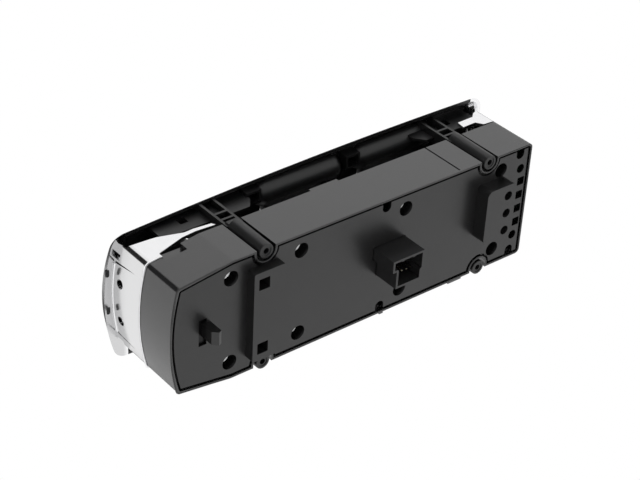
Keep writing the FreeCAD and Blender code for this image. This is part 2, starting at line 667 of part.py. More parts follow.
def housing_shell():
    """The deep rear housing with its deck, screw bosses, pivot ears and guides."""
    parts = [walls()] + tower()
    for x in SCREW_X:
        for side in (1, -1):
            parts.append(rod(x, side * screw_half, well_deep, DECK_UNDER - well_deep + 1, boss_radius,
                             name="boss"))
    for sx, sy in CORNERS:
        parts.append(rod(sx * board_post_x, sy * board_post_y, BOARD_TOP, DECK_UNDER - BOARD_TOP + 1,
                         board_post_radius,
                         name="board_post"))
    for end in (1, -1):
        near = pad_x + end * (ring_half + fit_gap)
        far = near + end * pad_post
        parts.append(box(near, far, -hub_radius, hub_radius, house_deep - JOIN, pad_pivot_z, "pad_post"))
        parts.append(rod(min((near, far), key=number), 0, pad_pivot_z, pad_post, hub_radius, "x",
                         "pad_post_end"))
    for x, y, _, _ in BUTTONS.values():
        hold = STEM_HOLD + guide_wall
        parts.append(box(x - hold, x + hold, y - hold, y + hold, house_deep - 0.5, house_deep + guide_tall,
                         "guide"))
    parts.append(box(lug_x - lug_half, lug_x + lug_half, house_half - cap_wall, house_half,
                     house_deep - JOIN,
                     house_deep + cap_wall, "front_lug"))
    for middle, half, tall in ((tab_x, tab_half, tab_half), (nub_x, tab_out, tab_out)):
        parts.append(box(middle - half, middle + half, JOIN - house_half, -house_half - tab_out, cover_sink,
                         cover_sink + tall, "edge_tab"))

    holes = []
    for x in SCREW_X:
        for side in (1, -1):
            holes.append(rod(x, side * screw_half, well_deep - 1, shank_long, shank_radius, name="pilot"))
    for x in ROWS_OF_ROCKERS.values():
        for side in (1, -1):
            y = side * pivot_y
            slot = arm_wide / 2 + fit_gap * 2
            holes.append(box(x - slot, x + slot, y - ARM_SWING, y + ARM_SWING, DECK_UNDER - PAST,
                             house_deep + PAST, "arm_slot"))
            holes.append(rod(x - rocker_half, y, pivot_z, rocker_half * 2, pin_radius, "x", "pin_hole"))
    for x, y, _, _ in BUTTONS.values():
        holes.append(box(x - STEM_HOLD, x + STEM_HOLD, y - STEM_HOLD, y + STEM_HOLD, STEP_UNDER - 1,
                         house_deep + guide_tall + 1, "stem_hole"))
    holes.append(rod(pad_x, 0, DECK_UNDER - PAST, deck + PAST * 2, stick_radius + STICK_SWING,
                     name="stick_hole"))
    reach = ring_half + fit_gap + pad_post + PAST
    holes.append(rod(pad_x - reach, 0, pad_pivot_z, reach * 2, trunnion + running, "x", "ring_bearing"))
    slot = guide_half + fit_gap
    holes.append(box(GUIDE_X0 - fit_gap, GUIDE_X1 + fit_gap, -slot, slot, DECK_UNDER - 1, house_deep + 1))
    named(cut(fuse(parts, "housing_joined"), holes, "housing"), "housing_shell")


def plug_outline():
    """The connector's stepped section, which lets its mate in one way only."""
    left = plug_x + plug_half
    right = plug_x - plug_half
    return outline([
        (left + plug_step, plug_high),
        (left + plug_step, plug_step_y),
        (left, plug_step_y),
        (left, -plug_low),
        (right, -plug_low),
        (right, -plug_notch_y),
        (right - plug_notch, -plug_notch_y),
        (right - plug_notch, plug_high),
    ], name="plug_outline")


def pins():
    """Two rows of square pins, which stand in the board and in the connector's floor."""
    made = []
    for row_y in (plug_high - 3.8, 4.5 - plug_low):
        for number_in_row in (-2, -1, 0, 1, 2):
            x = plug_x + number_in_row * pin_pitch
            made.append(box(x - pin_half, x + pin_half, row_y - pin_half, row_y + pin_half, pin_end,
                            BOARD_TOP + 0.4, "pin"))
    return group(made, "pins")


def connector():
    plan = plug_outline()
    body = solid(plan, plug_z, board_z, name="plug_body")
    mouth = solid(grow(plan, -plug_wall), plug_z - PAST, plug_floor, name="plug_mouth")
    hollow = cut(body, [mouth], "plug_hollow")
    ceiling = plug_high - plug_wall
    keys = []
    for x in (plug_x + KEY_APART, plug_x - KEY_APART + 0.75):
        keys.append(box(x - KEY_HALF, x + KEY_HALF, ceiling - KEY_TALL, ceiling + SINK, plug_z + 0.6,
                        plug_floor + SINK, "plug_key"))
    inside = plug_x + plug_half - plug_wall
    wall = plug_wall - plug_low
    ramp = solid(outline([
        (inside + SINK, plug_z + 1.2),
        (inside + SINK, plug_floor + SINK),
        (inside - RAMP_LONG, plug_floor + SINK),
    ], "xz", "ramp_side"), wall - SINK, wall + RAMP_TALL, "xz", "plug_ramp")
    named(cut(fuse([hollow, ramp] + keys, "plug"), [PINS], "shroud"), "connector_shroud")
    named(PINS, "connector_pins")


KEY_APART = 3.6
KEY_HALF = 0.7
KEY_TALL = 0.9
RAMP_LONG = 5.1
RAMP_TALL = 1.4
PINS = pins()


def circuit_board():
    plan = notched(LEDGE_IN + board_gap, board_z, BOARD_TOP, "board_plan")
    holes = [rod(x, side * screw_half, board_z - 1, board_thick + 2, boss_radius + board_gap)
             for x in SCREW_X for side in (1, -1)]
    named(cut(plan, holes + [PINS], "board"), "circuit_board")


def board_components():
    """The controller and the four lamps that light the rockers through the guide."""
    made = [slab(chip_x - chip_half, chip_x + chip_half, -chip_half, chip_half, BOARD_TOP,
                 BOARD_TOP + chip_tall,
                 WINDOW_CORNER, "controller")]
    for row in (row_far, row_near):
        for x in (row - lamp_x, row + lamp_x):
            made.append(box(x - lamp_half, x + lamp_half, -guide_half, guide_half, BOARD_TOP,
                            BOARD_TOP + lamp_tall, "lamp"))
    named(group(made, "components"), "board_components")


def light_guide():
    """A clear plate that stands between the rows of rockers, arched over the arms' sliders."""
    plate = box(GUIDE_X0, GUIDE_X1, -guide_half, guide_half, BOARD_TOP + lamp_tall + fit_gap,
                bezel_top - bezel_wall - guide_gap, "guide_plate")
    gaps = []
    for x in ROWS_OF_ROCKERS.values():
        gaps.append(box(x - slider_wide, x + slider_wide, -PAST, PAST, BOARD_TOP, BALL_Z + slider_grip,
                        "guide_gap"))
    gaps.append(box(GUIDE_X0 + guide_reach * 2 + PAST, GUIDE_X1 - guide_reach * 2 - PAST, -PAST, PAST,
                    house_deep + deck, bezel_top, "guide_gap"))
    named(cut(plate, gaps, "guide_cut"), "light_guide")


def rear_cover():
    """The flat cover with its wells, bridge pad, post, raised block and row of openings."""
    face = cover_sink + JOIN
    through = COVER_SEAT + PAST
    parts = [notched(EDGE_IN, cover_sink, COVER_SEAT, "cover_plate")]
    holes = []
    for x in SCREW_X:
        for side in (1, -1):
            y = side * screw_half
            parts.append(rod(x, y, face, well_deep - face, screw_well + well_wall, name="well"))
            holes.append(rod(x, y, -PAST, well_deep - well_floor + PAST, screw_well, name="well_hole"))
            holes.append(rod(x, y, 0, well_deep + PAST, shank_radius + SCREW_ROOM, name="well_screw_hole"))
    for sx, sy in CORNERS:
        parts.append(rod(sx * board_post_x, sy * board_post_y, COVER_SEAT - JOIN,
                         board_z - COVER_SEAT + JOIN, board_post_radius,
                         name="cover_post"))
    parts.append(slab(bridge_x - bridge_long, bridge_x + bridge_long, -bridge_wide, bridge_wide,
                      -bridge_tall,
                      face, PAD_CORNER, "bridge_pad"))
    window_x = bridge_x + bridge_long / 2 - 1.2
    for side in (1, -1):
        y = side * bridge_window_y
        holes.append(slab(window_x - window_half, window_x + window_half, y - window_half, y + window_half,
                          -bridge_tall - PAST, through, WINDOW_CORNER, "bridge_window"))
    parts.append(slab(block_x - block_long, block_x + block_long, block_y - block_wide, block_y + block_wide,
                      -block_tall, face, block_corner, "raised_block"))
    for step in (1, 0, -1):
        y = block_y - 1 + step * block_hole_pitch
        holes.append(rod(block_hole_x, y, -block_tall - PAST, block_hole_deep + PAST, round_hole,
                         name="block_hole"))
    for side in (1, -1):
        holes.append(rod(end_hole_x, side * end_hole_y, -PAST, through + PAST, round_hole, name="end_hole"))
        for middle in (notch_rear, notch_middle):
            holes.append(rod(middle, side * notch_y, -PAST, through, notch_radius, name="edge_hole"))
            holes.append(box(middle - notch_radius, middle + notch_radius, side * notch_y,
                             side * (house_half - EDGE_IN), -PAST, COVER_SEAT / 2, "edge_notch"))
    for step in (1.5, 0.5, -0.5, -1.5):
        y = step * slot_pitch
        holes.append(slab(slot_x - slot_half, slot_x + slot_half, y - slot_half, y + slot_half, -PAST,
                          through,
                          WINDOW_CORNER, "end_window"))
    holes.append(box(recess_x - recess_long, recess_x + recess_long, -recess_wide, recess_wide, -PAST,
                     cover_sink + recess_deep, "post_recess"))
    hollow = solid(grow(plug_outline(), plug_room), -PAST, through, name="plug_window")
    body = cut(fuse(parts, "cover_joined"), holes + [hollow], "cover_cut")
    root = cover_sink + recess_deep + JOIN
    post = outline([
        (post_x - post_half, root),
        (post_x - post_half, 0.8 - post_tall),
        (post_x - 0.4, -post_tall),
        (post_x + post_half, 2.2 - post_tall),
        (post_x + post_half, root),
    ], "xz", "post_side")
    hook = solid(post, post_y - post_wide / 2, post_y + post_wide / 2, "xz", "post")
    named(fuse([body, hook], "cover"), "rear_cover")


def cover_screws():
    """Pan-headed screws with a crossed recess, seated on the floors of the wells."""
    seat = well_deep - well_floor
    top = seat - head_tall
    made = []
    for x in SCREW_X:
        for side in (1, -1):
            y = side * screw_half
            head = outline([
                (0, -head_tall, head_radius * 0.62, -head_tall * 0.8),
                (head_radius, -head_tall * 0.2),
                (head_radius, 0),
                (shank_radius, 0),
                (shank_radius, shank_long - shank_radius),
                (0, shank_long),
            ], "xz", "screw_side")
            whole = turned(head, x, y, seat, "screw")
            cross = [
                box(x - drive_half, x + drive_half, y - DRIVE_THIN, y + DRIVE_THIN, top - PAST,
                    top + drive_deep),
                box(x - DRIVE_THIN, x + DRIVE_THIN, y - drive_half, y + drive_half, top - PAST,
                    top + drive_deep),
            ]
            made.append(cut(whole, cross, "screw"))
    named(group(made, "screws"), "cover_screws")


def bezel_section(inset, height, name):
    """The bezel's outline at a height: wider on the lower side, with gently bowed sides, a bowed
    bright end, and sides that lean in more than the ends do."""
    share = (height - bezel_rim) / (bezel_top - bezel_rim)
    side = inset + share * side_lean
    end = inset + share * end_lean
    corner = bezel_corner - inset
    rear = end + corner - bezel_rear
    front = bezel_front - end - corner
    low_end = side + corner - (house_half + over_low_end)
    high_front = house_end_half + over_high_front - side - corner
    core = outline([
        (rear, low_end, bezel_widest, side + corner - (house_half + over_low)),
        (front, low_end, front + bezel_bow, (high_front + low_end) / 2),
        (front, high_front, bezel_widest, house_half + over_high - side - corner),
        (rear, house_half + over_high_rear - side - corner, rear - bezel_rear_bow, 0),
    ], name=name)
    place(core, 0, 0, height)
    return grow(core, corner)


def bezel_form(inset, high, name):
    """The bezel's solid form less an inset, from its rim to a height."""
    item = add("Part::Loft", name)
    rim = bezel_section(inset, bezel_rim, name + "_rim")
    item.Sections = [rim, bezel_section(inset, high, name + "_face")]
    item.Solid = True
    item.Ruled = True
    return item


def at_height(edge, height):
    low = abs(edge.BoundBox.ZMin - number(height))
    high = abs(edge.BoundBox.ZMax - number(height))
    return low < SKIN and high < SKIN


def capsule(x, half, y, z, radius, name="capsule"):
    ends = half - radius
    return fuse([rod(x - ends, y, z, ends * 2, radius, "x"), ball(x - ends, y, z, radius),
                 ball(x + ends, y, z, radius)], name)


def skirts(ceiling):
    """The walls inside the rim, beside the end caps, each with a window and a sloping end."""
    made = []
    clip_end = clip_near + clip_long
    front = (house_front - SKIRT_SHORT, clip_end + SKIRT_PAST, clip_end - clip_wall / 2, skirt_window_x)
    rear = (SKIRT_END - house_rear, bracket_half * 2 - pillar_x, bracket_half * 3 - pillar_x,
            bracket_half - (house_rear + pillar_x) / 2)
    for side in (1, -1):
        outer = side * skirt_y
        inner = outer - side * skirt_wall
        for near, far, last, middle in (front, rear):
            wall = solid(outline([
                (near, skirt_z),
                (far, skirt_z),
                (last, skirt_z + skirt_step),
                (last, ceiling),
                (near, ceiling),
            ], "xz", "skirt_side"), inner, outer, "xz", "skirt")
            hole = box(middle - clip_long / 2, middle + clip_long / 2, inner - side, outer + side,
                       skirt_z + skirt_step, skirt_z + skirt_step + clip_long, "skirt_window")
            made.append(cut(wall, [hole], "skirt_cut"))
    return made


def clip_box(x, side, ceiling):
    """An open-ended box under the face, which a spring clip goes into."""
    outer = side * (skirt_y + skirt_wall)
    inner = outer - side * clip_wide
    return cut(
        box(x - clip_long, x + clip_long, inner, outer, clip_z, ceiling, "clip_box"),
        [box(x - clip_long + clip_wall, x + clip_long - clip_wall, inner + side * clip_wall,
             outer - side * clip_wall, clip_z - PAST, ceiling - clip_wall)], "clip_box")


def bezel_parts(ceiling):
    """Everything moulded under the face: skirts, scoops, brackets, pillars, clips and posts."""
    parts = skirts(ceiling)
    for side in (1, -1):
        for x in ROWS_OF_ROCKERS.values():
            parts.append(capsule(x, scoop_half, side * scoop_y, scoop_z, scoop_bulge, "scoop_bulge"))
        for x in (clip_far, clip_near):
            parts.append(clip_box(x, side, ceiling))
        for x in (locator_x - LOCATOR_SHIFT, -locator_x - LOCATOR_SHIFT):
            parts.append(rod(x, side * locator_y, house_deep, ceiling - house_deep, locator_radius,
                             name="locating_post"))
    for sx, sy in CORNERS:
        parts += bracket(sx * pillar_x, sy, ceiling)
        parts.append(cone(sx * pillar_x, sy * pillar_y, 0, bracket_z + pillar_over, pillar_tip, pillar_root,
                          "pillar"))
    return parts


def bezel():
    """The whole bezel moulding with its openings, before its ends are parted off."""
    block = bezel_form(0, bezel_top, "bezel_outer")
    outer = rounded(block, lambda edge: at_height(edge, bezel_top), bezel_round, "bezel_block")
    inner = bezel_form(bezel_wall, bezel_top - bezel_wall, "bezel_inner")
    shell = cut(outer, [inner], "bezel_shell")
    ceiling = bezel_top - bezel_wall / 2
    below = solid(bezel_section(SINK * 2, bezel_rim, "below_rim"), -bezel_rim, SKIN, name="below_rim")
    room = fuse([outer, below], "bezel_room")
    within = common(fuse(bezel_parts(ceiling), "bezel_parts"), room, "bezel_parts_trimmed")
    body = fuse([shell, within], "bezel_joined")

    holes = []
    over = bezel_top + PAST
    for sx, sy in CORNERS:
        holes.append(rod(sx * pillar_x, sy * pillar_y, -PAST, pillar_bore_deep + PAST, pillar_bore,
                         name="screw_hole"))
    for x in ROWS_OF_ROCKERS.values():
        reach = rocker_half + end_gap
        for side in (1, -1):
            holes.append(capsule(x, scoop_half - scoop_wall, side * scoop_y, scoop_z,
                                 scoop_bulge - scoop_wall,
                                 "scoop"))
            holes.append(box(x - reach, x + reach, side * (rocker_inner - travel_gap),
                             side * (rocker_outer + travel_gap), TOWER_Z, over, "rocker_opening"))
    for x, y, long_half, wide_half in BUTTONS.values():
        a = long_half + button_gap
        b = wide_half + button_gap
        holes.append(slab(x - a, x + a, y - b, y + b, bezel_rim, over, button_corner + button_gap,
                          "button_opening"))
    holes.append(rod(pad_x, 0, bezel_rim, over - bezel_rim, pad_radius + pad_gap, name="pad_opening"))
    return cut(body, holes, "bezel_cut")


def bracket(x, side, ceiling):
    """The open bracket that joins a pillar to the bezel: a back, two cheeks and three bars. Its foot
    stands in the pillar's channel, so it is shallower than the rest."""
    edge = side * (pillar_y + bracket_out)
    back = edge - side * bracket_deep
    foot = edge - side * bracket_foot
    clear = house_deep + JOIN
    made = [box(x - bracket_half, x + bracket_half, back, back + side * bracket_plate, clear, ceiling,
                "bracket_back")]
    for end in (1, -1):
        outer = x + end * bracket_half
        inner = outer - end * bracket_plate
        made.append(box(outer, inner, back, edge, clear, ceiling, "cheek"))
        made.append(box(outer, inner, foot, edge, bracket_z, clear + JOIN, "cheek_foot"))
    for step in range(3):
        low = bracket_z + step * bracket_pitch
        made.append(box(x - bracket_half, x + bracket_half, back if step else foot, edge, low,
                        low + bracket_plate, "bracket_bar"))
    return made


def split_bezel():
    """Parts the bezel's bright ends off. They stay of one piece with the caps under them."""
    whole = bezel()
    front_end = box(cap_start, bezel_front + FAR, -FAR, FAR, 0, FAR, "front_end")
    rear_end = box(-bezel_rear - FAR, -rear_cap_start, -FAR, FAR, 0, FAR, "rear_end")
    named(cut(whole, [front_end, rear_end], "bezel_panel"), "bezel_panel")
    return common(whole, front_end, "front_rim"), common(whole, rear_end, "rear_rim")


def house_ring(low, high, wall):
    """A wall that follows the housing's outline."""
    return cut(
        solid(grow(HOUSE_CORE, house_corner), low, high, name="ring"),
        [solid(grow(HOUSE_CORE, house_corner - wall), low - PAST, high + PAST,
               name="ring_room")], "ring_wall")


def closing_plate(top):
    """A plate over the bezel's whole rim, a little inside its outer edge."""
    return common(bezel_form(rim_sink, bezel_top, "rim_form"), box(-LONG, LONG, -FAR, FAR, 0, top),
                  "rim_plate")


def side_profile(points):
    """A side view drawn right across the panel, which picks out what a cap covers."""
    return solid(outline(points, "xz", "cap_profile"), -FAR, FAR, "xz", "cap_profile")


def slit(side):
    """A narrow slit in the bowed end, which closes to a point towards the housing."""
    y = slit_mid + side * slit_y
    face = outline([
        (y - slit_half, bezel_rim - slit_half),
        (y + slit_half, bezel_rim - slit_half),
        (y + side * slit_half * 3, bezel_rim - slit_long),
    ], "yz", "slit_side")
    return solid(face, cap_start, bezel_front, "yz", "slit")


def front_cap(strip):
    """The bright cap over the bowed end, with a wing that narrows along each side."""
    top = bezel_rim + rim_plate
    profile = side_profile([
        (house_front + FAR, house_step + cap_lift),
        (step_start, house_step + cap_lift),
        (step_start, house_deep + SINK),
        (step_start - 1, house_deep + 0.5),
        (86.7, house_deep + 2.6),
        (70.4, house_deep + 1.6),
        (71.4, house_deep + 3.3),
        (84, house_deep + 4.6),
        (94.5, house_deep + 10.0),
        (98, house_deep + 11.0),
        (107.2, house_deep + 13.2),
        (107.8, top),
        (house_front + FAR, top),
    ])
    band = common(house_ring(house_step, top, cap_wall), profile, "front_band")
    inside = solid(grow(HOUSE_CORE, house_corner - cap_wall), bezel_rim - PAST, top + PAST,
                   name="shelf_room")
    shelf = cut(closing_plate(top), [inside, box(-LONG, cap_start, -FAR, FAR, 0, LONG)], "front_shelf")
    holes = [strip]
    for side in (1, -1):
        gate = gate_mid + side * gate_y
        round_y = cap_hole_mid + side * cap_hole_y
        long_y = rim_hole_mid + side * cap_hole_y
        holes.append(slit(side))
        holes.append(rod(cap_start, round_y, cap_hole_z, LONG, cap_hole, "x", "cap_hole"))
        holes.append(slab(rim_hole_x - rim_hole, rim_hole_x + rim_hole, long_y - rim_hole_long,
                          long_y + rim_hole_long, bezel_rim - PAST,
                          bezel_rim + rim_plate + PAST, rim_hole - SINK, "rim_hole"))
        holes.append(box(cap_start, bezel_front, gate - gate_half, gate + gate_half, bezel_rim - gate_tall,
                         bezel_rim, "gate"))
    wall = cut(fuse([band, shelf], "front_cap_joined"), holes, "front_cap_cut")
    named(fuse([wall, strip], "front_cap"), "front_trim_cap")


def rear_cap(strip):
    """The smaller bright cap over the square end, whose end wall leans out to the rim."""
    low = house_deep + 0.3
    lean = low + 12.3
    profile = side_profile([
        (-house_rear - PAST, low),
        (-83.2, low + 0.7),
        (-80.8, low + 4.1),
        (-73.2, low + 3.9),
        (-73.9, low + 8.5),
        (-83.4, low + 8.7),
        (-86, low + 11.1),
        (-89, lean),
        (-house_rear - PAST, lean),
    ])
    band = common(house_ring(low, lean, cap_wall), profile, "rear_band")
    top = bezel_rim + rim_plate
    rim_edge = bezel_rear - rim_plate
    end_wall = outline([
        (-house_rear, low),
        (-house_rear - rim_sink, lean),
        (-rim_edge, top),
        (cap_wall + 0.3 - rim_edge, top),
        (cap_wall - house_rear - 0.4, lean),
        (cap_wall - house_rear, low),
    ], "xz", "end_wall_side")
    reach = house_half - house_corner
    leaning = solid(end_wall, -reach, reach, "xz", "end_wall")
    wall = cut(fuse([band, leaning], "rear_cap_joined"), [strip], "rear_cap_cut")
    named(fuse([wall, strip], "rear_cap"), "rear_trim_cap")


def rocker(x, side, label):
    """A rocker's cap, hub, ribs and long arm with its ball, all one moulding."""
    top = bezel_top + rocker_proud
    low = top - rocker_skirt
    y = side * pivot_y

    def section(inset):
        """The cap's side view: a flat dish that rises to a rounded lip."""
        inner = side * (rocker_inner + inset)
        return [
            (inner, low - inset),
            (inner, top - DISH_EDGE - inset, side * (pivot_y + lip_round), top - rocker_dish - inset),
            (side * (rocker_outer - lip_round - inset), top - inset),
            (side * (rocker_outer - inset), top - lip_round - inset),
            (side * (rocker_outer - lip_round / 2 - inset), low - inset),
        ]

    ends = (x - rocker_half, x + rocker_half)
    room = solid(outline(section(rocker_wall), "yz", "cap_room"), ends[0] + rocker_wall,
                 ends[1] - rocker_wall,
                 "yz", "cap_room")
    shell = cut(solid(outline(section(0), "yz", "cap_side"), ends[0], ends[1], "yz", "cap"), [room],
                "cap_shell")
    hub_half = EAR_IN - ear_gap
    parts = [shell, rod(x - hub_half, y, pivot_z, hub_half * 2, hub_radius, "x", "hub")]
    for end in (1, -1):
        rib = x + end * hub_half * 0.7
        parts.append(box(rib - rib_half, rib + rib_half, y - hub_radius * 0.7, y + hub_radius * 0.7, pivot_z,
                         top - rocker_dish - rocker_wall / 2, "rib"))
    parts.append(box(x - arm_wide / 2, x + arm_wide / 2, y - arm_thick / 2, y + arm_thick / 2, BALL_Z,
                     pivot_z,
                     "arm"))
    parts.append(ball(x, y, BALL_Z, ball_radius, "arm_ball"))
    bore = rod(ends[0], y, pivot_z, rocker_half * 2, pin_radius + running, "x", "bore")
    named(cut(fuse(parts, label), [bore], label), label)


def rocker_pins():
    made = []
    for x in ROWS_OF_ROCKERS.values():
        for side in (1, -1):
            reach = EAR_IN + ear_thick
            made.append(rod(x - reach, side * pivot_y, pivot_z, reach * 2, pin_radius, "x", "pivot_pin"))
    named(group(made, "rocker_pins"), "rocker_pins")


def slider(x, side, label):
    """The contact slider that a rocker's arm carries across the board."""
    y = side * pivot_y
    low = BOARD_TOP + fit_gap
    high = BALL_Z + slider_grip
    slot = ball_radius + running
    half = slider_wide / 2
    block = slab(x - half, x + half, y - slider_long / 2, y + slider_long / 2, low, high, WINDOW_CORNER,
                 "slider_block")
    tools = [box(x - slider_wide, x + slider_wide, y - slot, y + slot, low + slider_floor, high + PAST,
                 "slot")]
    for end in (1, -1):
        outer = x + end * half
        tools.append(box(outer, outer - end * contact_half, y - contact_half, y + contact_half, low - PAST,
                         low + contact_half, "contact_notch"))
    named(cut(block, tools, label), label)


def button(label):
    """A push button's cap with its stem, which ends just above a rubber dome."""
    x, y, long_half, wide_half = BUTTONS[label]
    top = bezel_top + button_proud
    cap = slab(x - long_half, x + long_half, y - wide_half, y + wide_half, top - button_cap, top,
               button_corner,
               "button_cap")
    edge = rounded(cap, lambda e: at_height(e, top), button_round, "button_edge")
    stem = box(x - stem_half, x + stem_half, y - stem_half, y + stem_half,
               DOME_TOP + button_travel + running * 4,
               top - button_cap + PAST, "button_stem")
    named(fuse([edge, stem], label), label)


DOME_TOP = BOARD_TOP + mat_thick + dome_tall


def contact_mats():
    """Rubber sheets on the board, with a dome under each button."""
    top = BOARD_TOP + mat_thick
    front = [slab(select_x - mat_edge, fold_x + mat_edge, -MAT_HALF, MAT_HALF, BOARD_TOP, top, mat_corner,
                  "front_mat")]
    rear = [slab(lock_x - mat_edge, lock_x + mat_edge, -lock_wide, lock_wide, BOARD_TOP, top, mat_corner,
                 "rear_mat")]
    for name, (x, y, _, _) in BUTTONS.items():
        dome = cone(x, y, top - SINK, dome_tall + SINK, dome_radius, dome_radius * 0.62, "dome")
        (rear if name == "rear_lock_button" else front).append(dome)
    named(fuse(front, "front_mat"), "mirror_contact_mat")
    named(fuse(rear, "rear_mat"), "lock_contact_mat")


MAT_HALF = select_y + select_wide


def mirror_ring():
    """The square pivot ring, hinged along the panel on the housing and across it to the pad."""
    low = pad_pivot_z - ring_tall / 2
    high = pad_pivot_z + ring_tall / 2
    inner = ring_half - ring_bar
    room = slab(pad_x - inner, pad_x + inner, -inner, inner, low - PAST, high + PAST, WINDOW_CORNER,
                "ring_room")
    bore = rod(pad_x, -ring_half - PAST, pad_pivot_z, (ring_half + PAST) * 2, trunnion + running, "y",
               "ring_bore")
    block = slab(pad_x - ring_half, pad_x + ring_half, -ring_half, ring_half, low, high, PAD_CORNER,
                 "ring_block")
    parts = [cut(block, [room, bore], "ring_frame")]
    reach = pad_post + fit_gap
    for start in (pad_x - ring_half - reach, pad_x + ring_half - SINK):
        parts.append(rod(start, 0, pad_pivot_z, reach + SINK, trunnion, "x", "ring_trunnion"))
    named(fuse(parts, "ring"), "mirror_pivot_ring")


def mirror_pad():
    """The dished adjuster pad with its neck, cross trunnions and stick, all one moulding."""
    top = bezel_top + rocker_proud
    low = top - pad_thick
    neck = ring_half - ring_bar - NECK_IN
    inside = pad_radius - rocker_wall
    under = top - rocker_wall - lip_round / 2
    side = outline([
        (0, top - 1.0, pad_radius / 2, top - 0.8),
        (pad_radius - lip_round, top, pad_radius - 0.4, top - 0.5),
        (pad_radius, top - lip_round),
        (pad_radius - lip_round / 2, low),
        (inside - lip_round / 2, low),
        (inside, under),
        (neck, under),
        (neck, pad_pivot_z - trunnion - running * 14),
        (stick_radius, pad_pivot_z - trunnion - NECK_IN),
        (stick_radius, stick_end + PAST),
        (stick_radius - PAD_CORNER, stick_end),
        (0, stick_end),
    ], "xz", "pad_side")
    body = turned(side, pad_x, 0, 0, "pad_body")
    reach = ring_half - SINK
    cross = rod(pad_x, -reach, pad_pivot_z, reach * 2, trunnion, "y", "pad_trunnion")
    named(fuse([body, cross], "pad"), "mirror_pad")


housing_shell()
rear_cover()
cover_screws()
connector()
circuit_board()
board_components()
light_guide()
front_strip, rear_strip = split_bezel()
front_cap(front_strip)
rear_cap(rear_strip)
rocker_pins()
for row_name, row_x in ROWS_OF_ROCKERS.items():
    for side_name, side_sign in SIDES.items():
        rocker(row_x, side_sign, f"rocker_{row_name}_{side_name}")
        slider(row_x, side_sign, f"slider_{row_name}_{side_name}")
for button_name in BUTTONS:
    button(button_name)
contact_mats()
mirror_ring()
mirror_pad()

DOC.recompute()
for item in DOC.Objects:
    if {"Invalid", "Error"} & set(item.State):
        raise RuntimeError(f"{item.Name} failed: {item.State}")
os.makedirs("parts", exist_ok=True)
for node in NODES:
    shape = node.Shape
    if shape.isNull() or not shape.isValid():
        raise RuntimeError(f"{node.Label} has no sound shape")
    shape.exportStep(f"parts/{node.Label}.step")
    print(node.Label, len(shape.Solids), round(shape.Volume, 1), [round(v, 1) for v in (
        shape.BoundBox.XMin, shape.BoundBox.XMax, shape.BoundBox.YMin, shape.BoundBox.YMax,
        shape.BoundBox.ZMin, shape.BoundBox.ZMax)])
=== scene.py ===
import bmesh
import bpy
import json
import math
from mathutils import Matrix, Vector
from mathutils.bvhtree import BVHTree


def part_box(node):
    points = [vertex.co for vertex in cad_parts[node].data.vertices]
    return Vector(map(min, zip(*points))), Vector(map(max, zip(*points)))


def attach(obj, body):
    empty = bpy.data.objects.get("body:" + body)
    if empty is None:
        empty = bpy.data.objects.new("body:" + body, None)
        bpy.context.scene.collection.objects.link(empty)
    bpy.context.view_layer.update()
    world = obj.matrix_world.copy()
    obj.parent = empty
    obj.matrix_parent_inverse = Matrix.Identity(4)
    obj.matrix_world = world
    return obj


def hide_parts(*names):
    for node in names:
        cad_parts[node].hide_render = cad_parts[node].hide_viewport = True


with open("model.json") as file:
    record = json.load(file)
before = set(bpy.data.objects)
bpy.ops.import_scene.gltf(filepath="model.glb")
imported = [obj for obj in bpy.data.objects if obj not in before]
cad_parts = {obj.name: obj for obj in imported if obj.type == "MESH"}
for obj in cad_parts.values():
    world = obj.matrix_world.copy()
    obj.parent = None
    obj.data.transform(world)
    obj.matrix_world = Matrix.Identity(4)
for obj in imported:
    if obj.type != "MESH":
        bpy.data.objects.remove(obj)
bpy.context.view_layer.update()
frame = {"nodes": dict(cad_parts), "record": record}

MM = 0.001


# Node trees as Python expressions

class Value:
    """One socket of a node tree, with the operators that its maths needs."""

    def __init__(self, nodes, socket):
        self.nodes = nodes
        self.socket = socket

    def __add__(self, other):
        return self.nodes.math("ADD", self, other)

    def __mul__(self, other):
        return self.nodes.math("MULTIPLY", self, other)

    __radd__ = __add__
    __rmul__ = __mul__


class Nodes:
    """A tree of nodes and the ways to add to it."""

    tree = None

    def node(self, kind, settings=None, output=0, **inputs):
        """Any node by its type, its settings, and the values or links of its sockets. A socket goes by its
        name, with underscores for spaces, or by i and its number."""
        made = self.tree.nodes.new(kind)
        for name, value in (settings or {}).items():
            setattr(made, name, value)
        for name, value in inputs.items():
            numbered = name[0] == "i" and name[1:].isdigit()
            socket = made.inputs[int(name[1:]) if numbered else name.replace("_", " ")]
            if isinstance(value, Value):
                self.tree.links.new(value.socket, socket)
            elif socket.type == "RGBA":
                socket.default_value = (*value, 1)
            else:
                socket.default_value = value
        return Value(self, made.outputs[output])

    def last_node(self, kind, result):
        """The node that ends the tree."""
        end = self.tree.nodes.new(kind)
        self.tree.links.new(result.socket, end.inputs[0])

    def math(self, operation, *terms):
        inputs = {f"i{n}": term for n, term in enumerate(terms)}
        return self.node("ShaderNodeMath", {"operation": operation}, **inputs)

    def between(self, share, low, high):
        """A value that runs from low to high with a share."""
        return share * (high - low) + low

    def ramp(self, value, start, end, smooth=False):
        """0 before the start, 1 past the end."""
        kind = "SMOOTHSTEP" if smooth else "LINEAR"
        return self.node("ShaderNodeMapRange", {"interpolation_type": kind}, Value=value, i1=start, i2=end)

    def ray(self, kind):
        """1 for a ray of this kind, 0 for any other."""
        return self.node("ShaderNodeLightPath", output=f"Is {kind} Ray")

    def blend(self, share, first, second):
        """Two shaders by a share."""
        return self.node("ShaderNodeMixShader", i0=share, i1=first, i2=second)


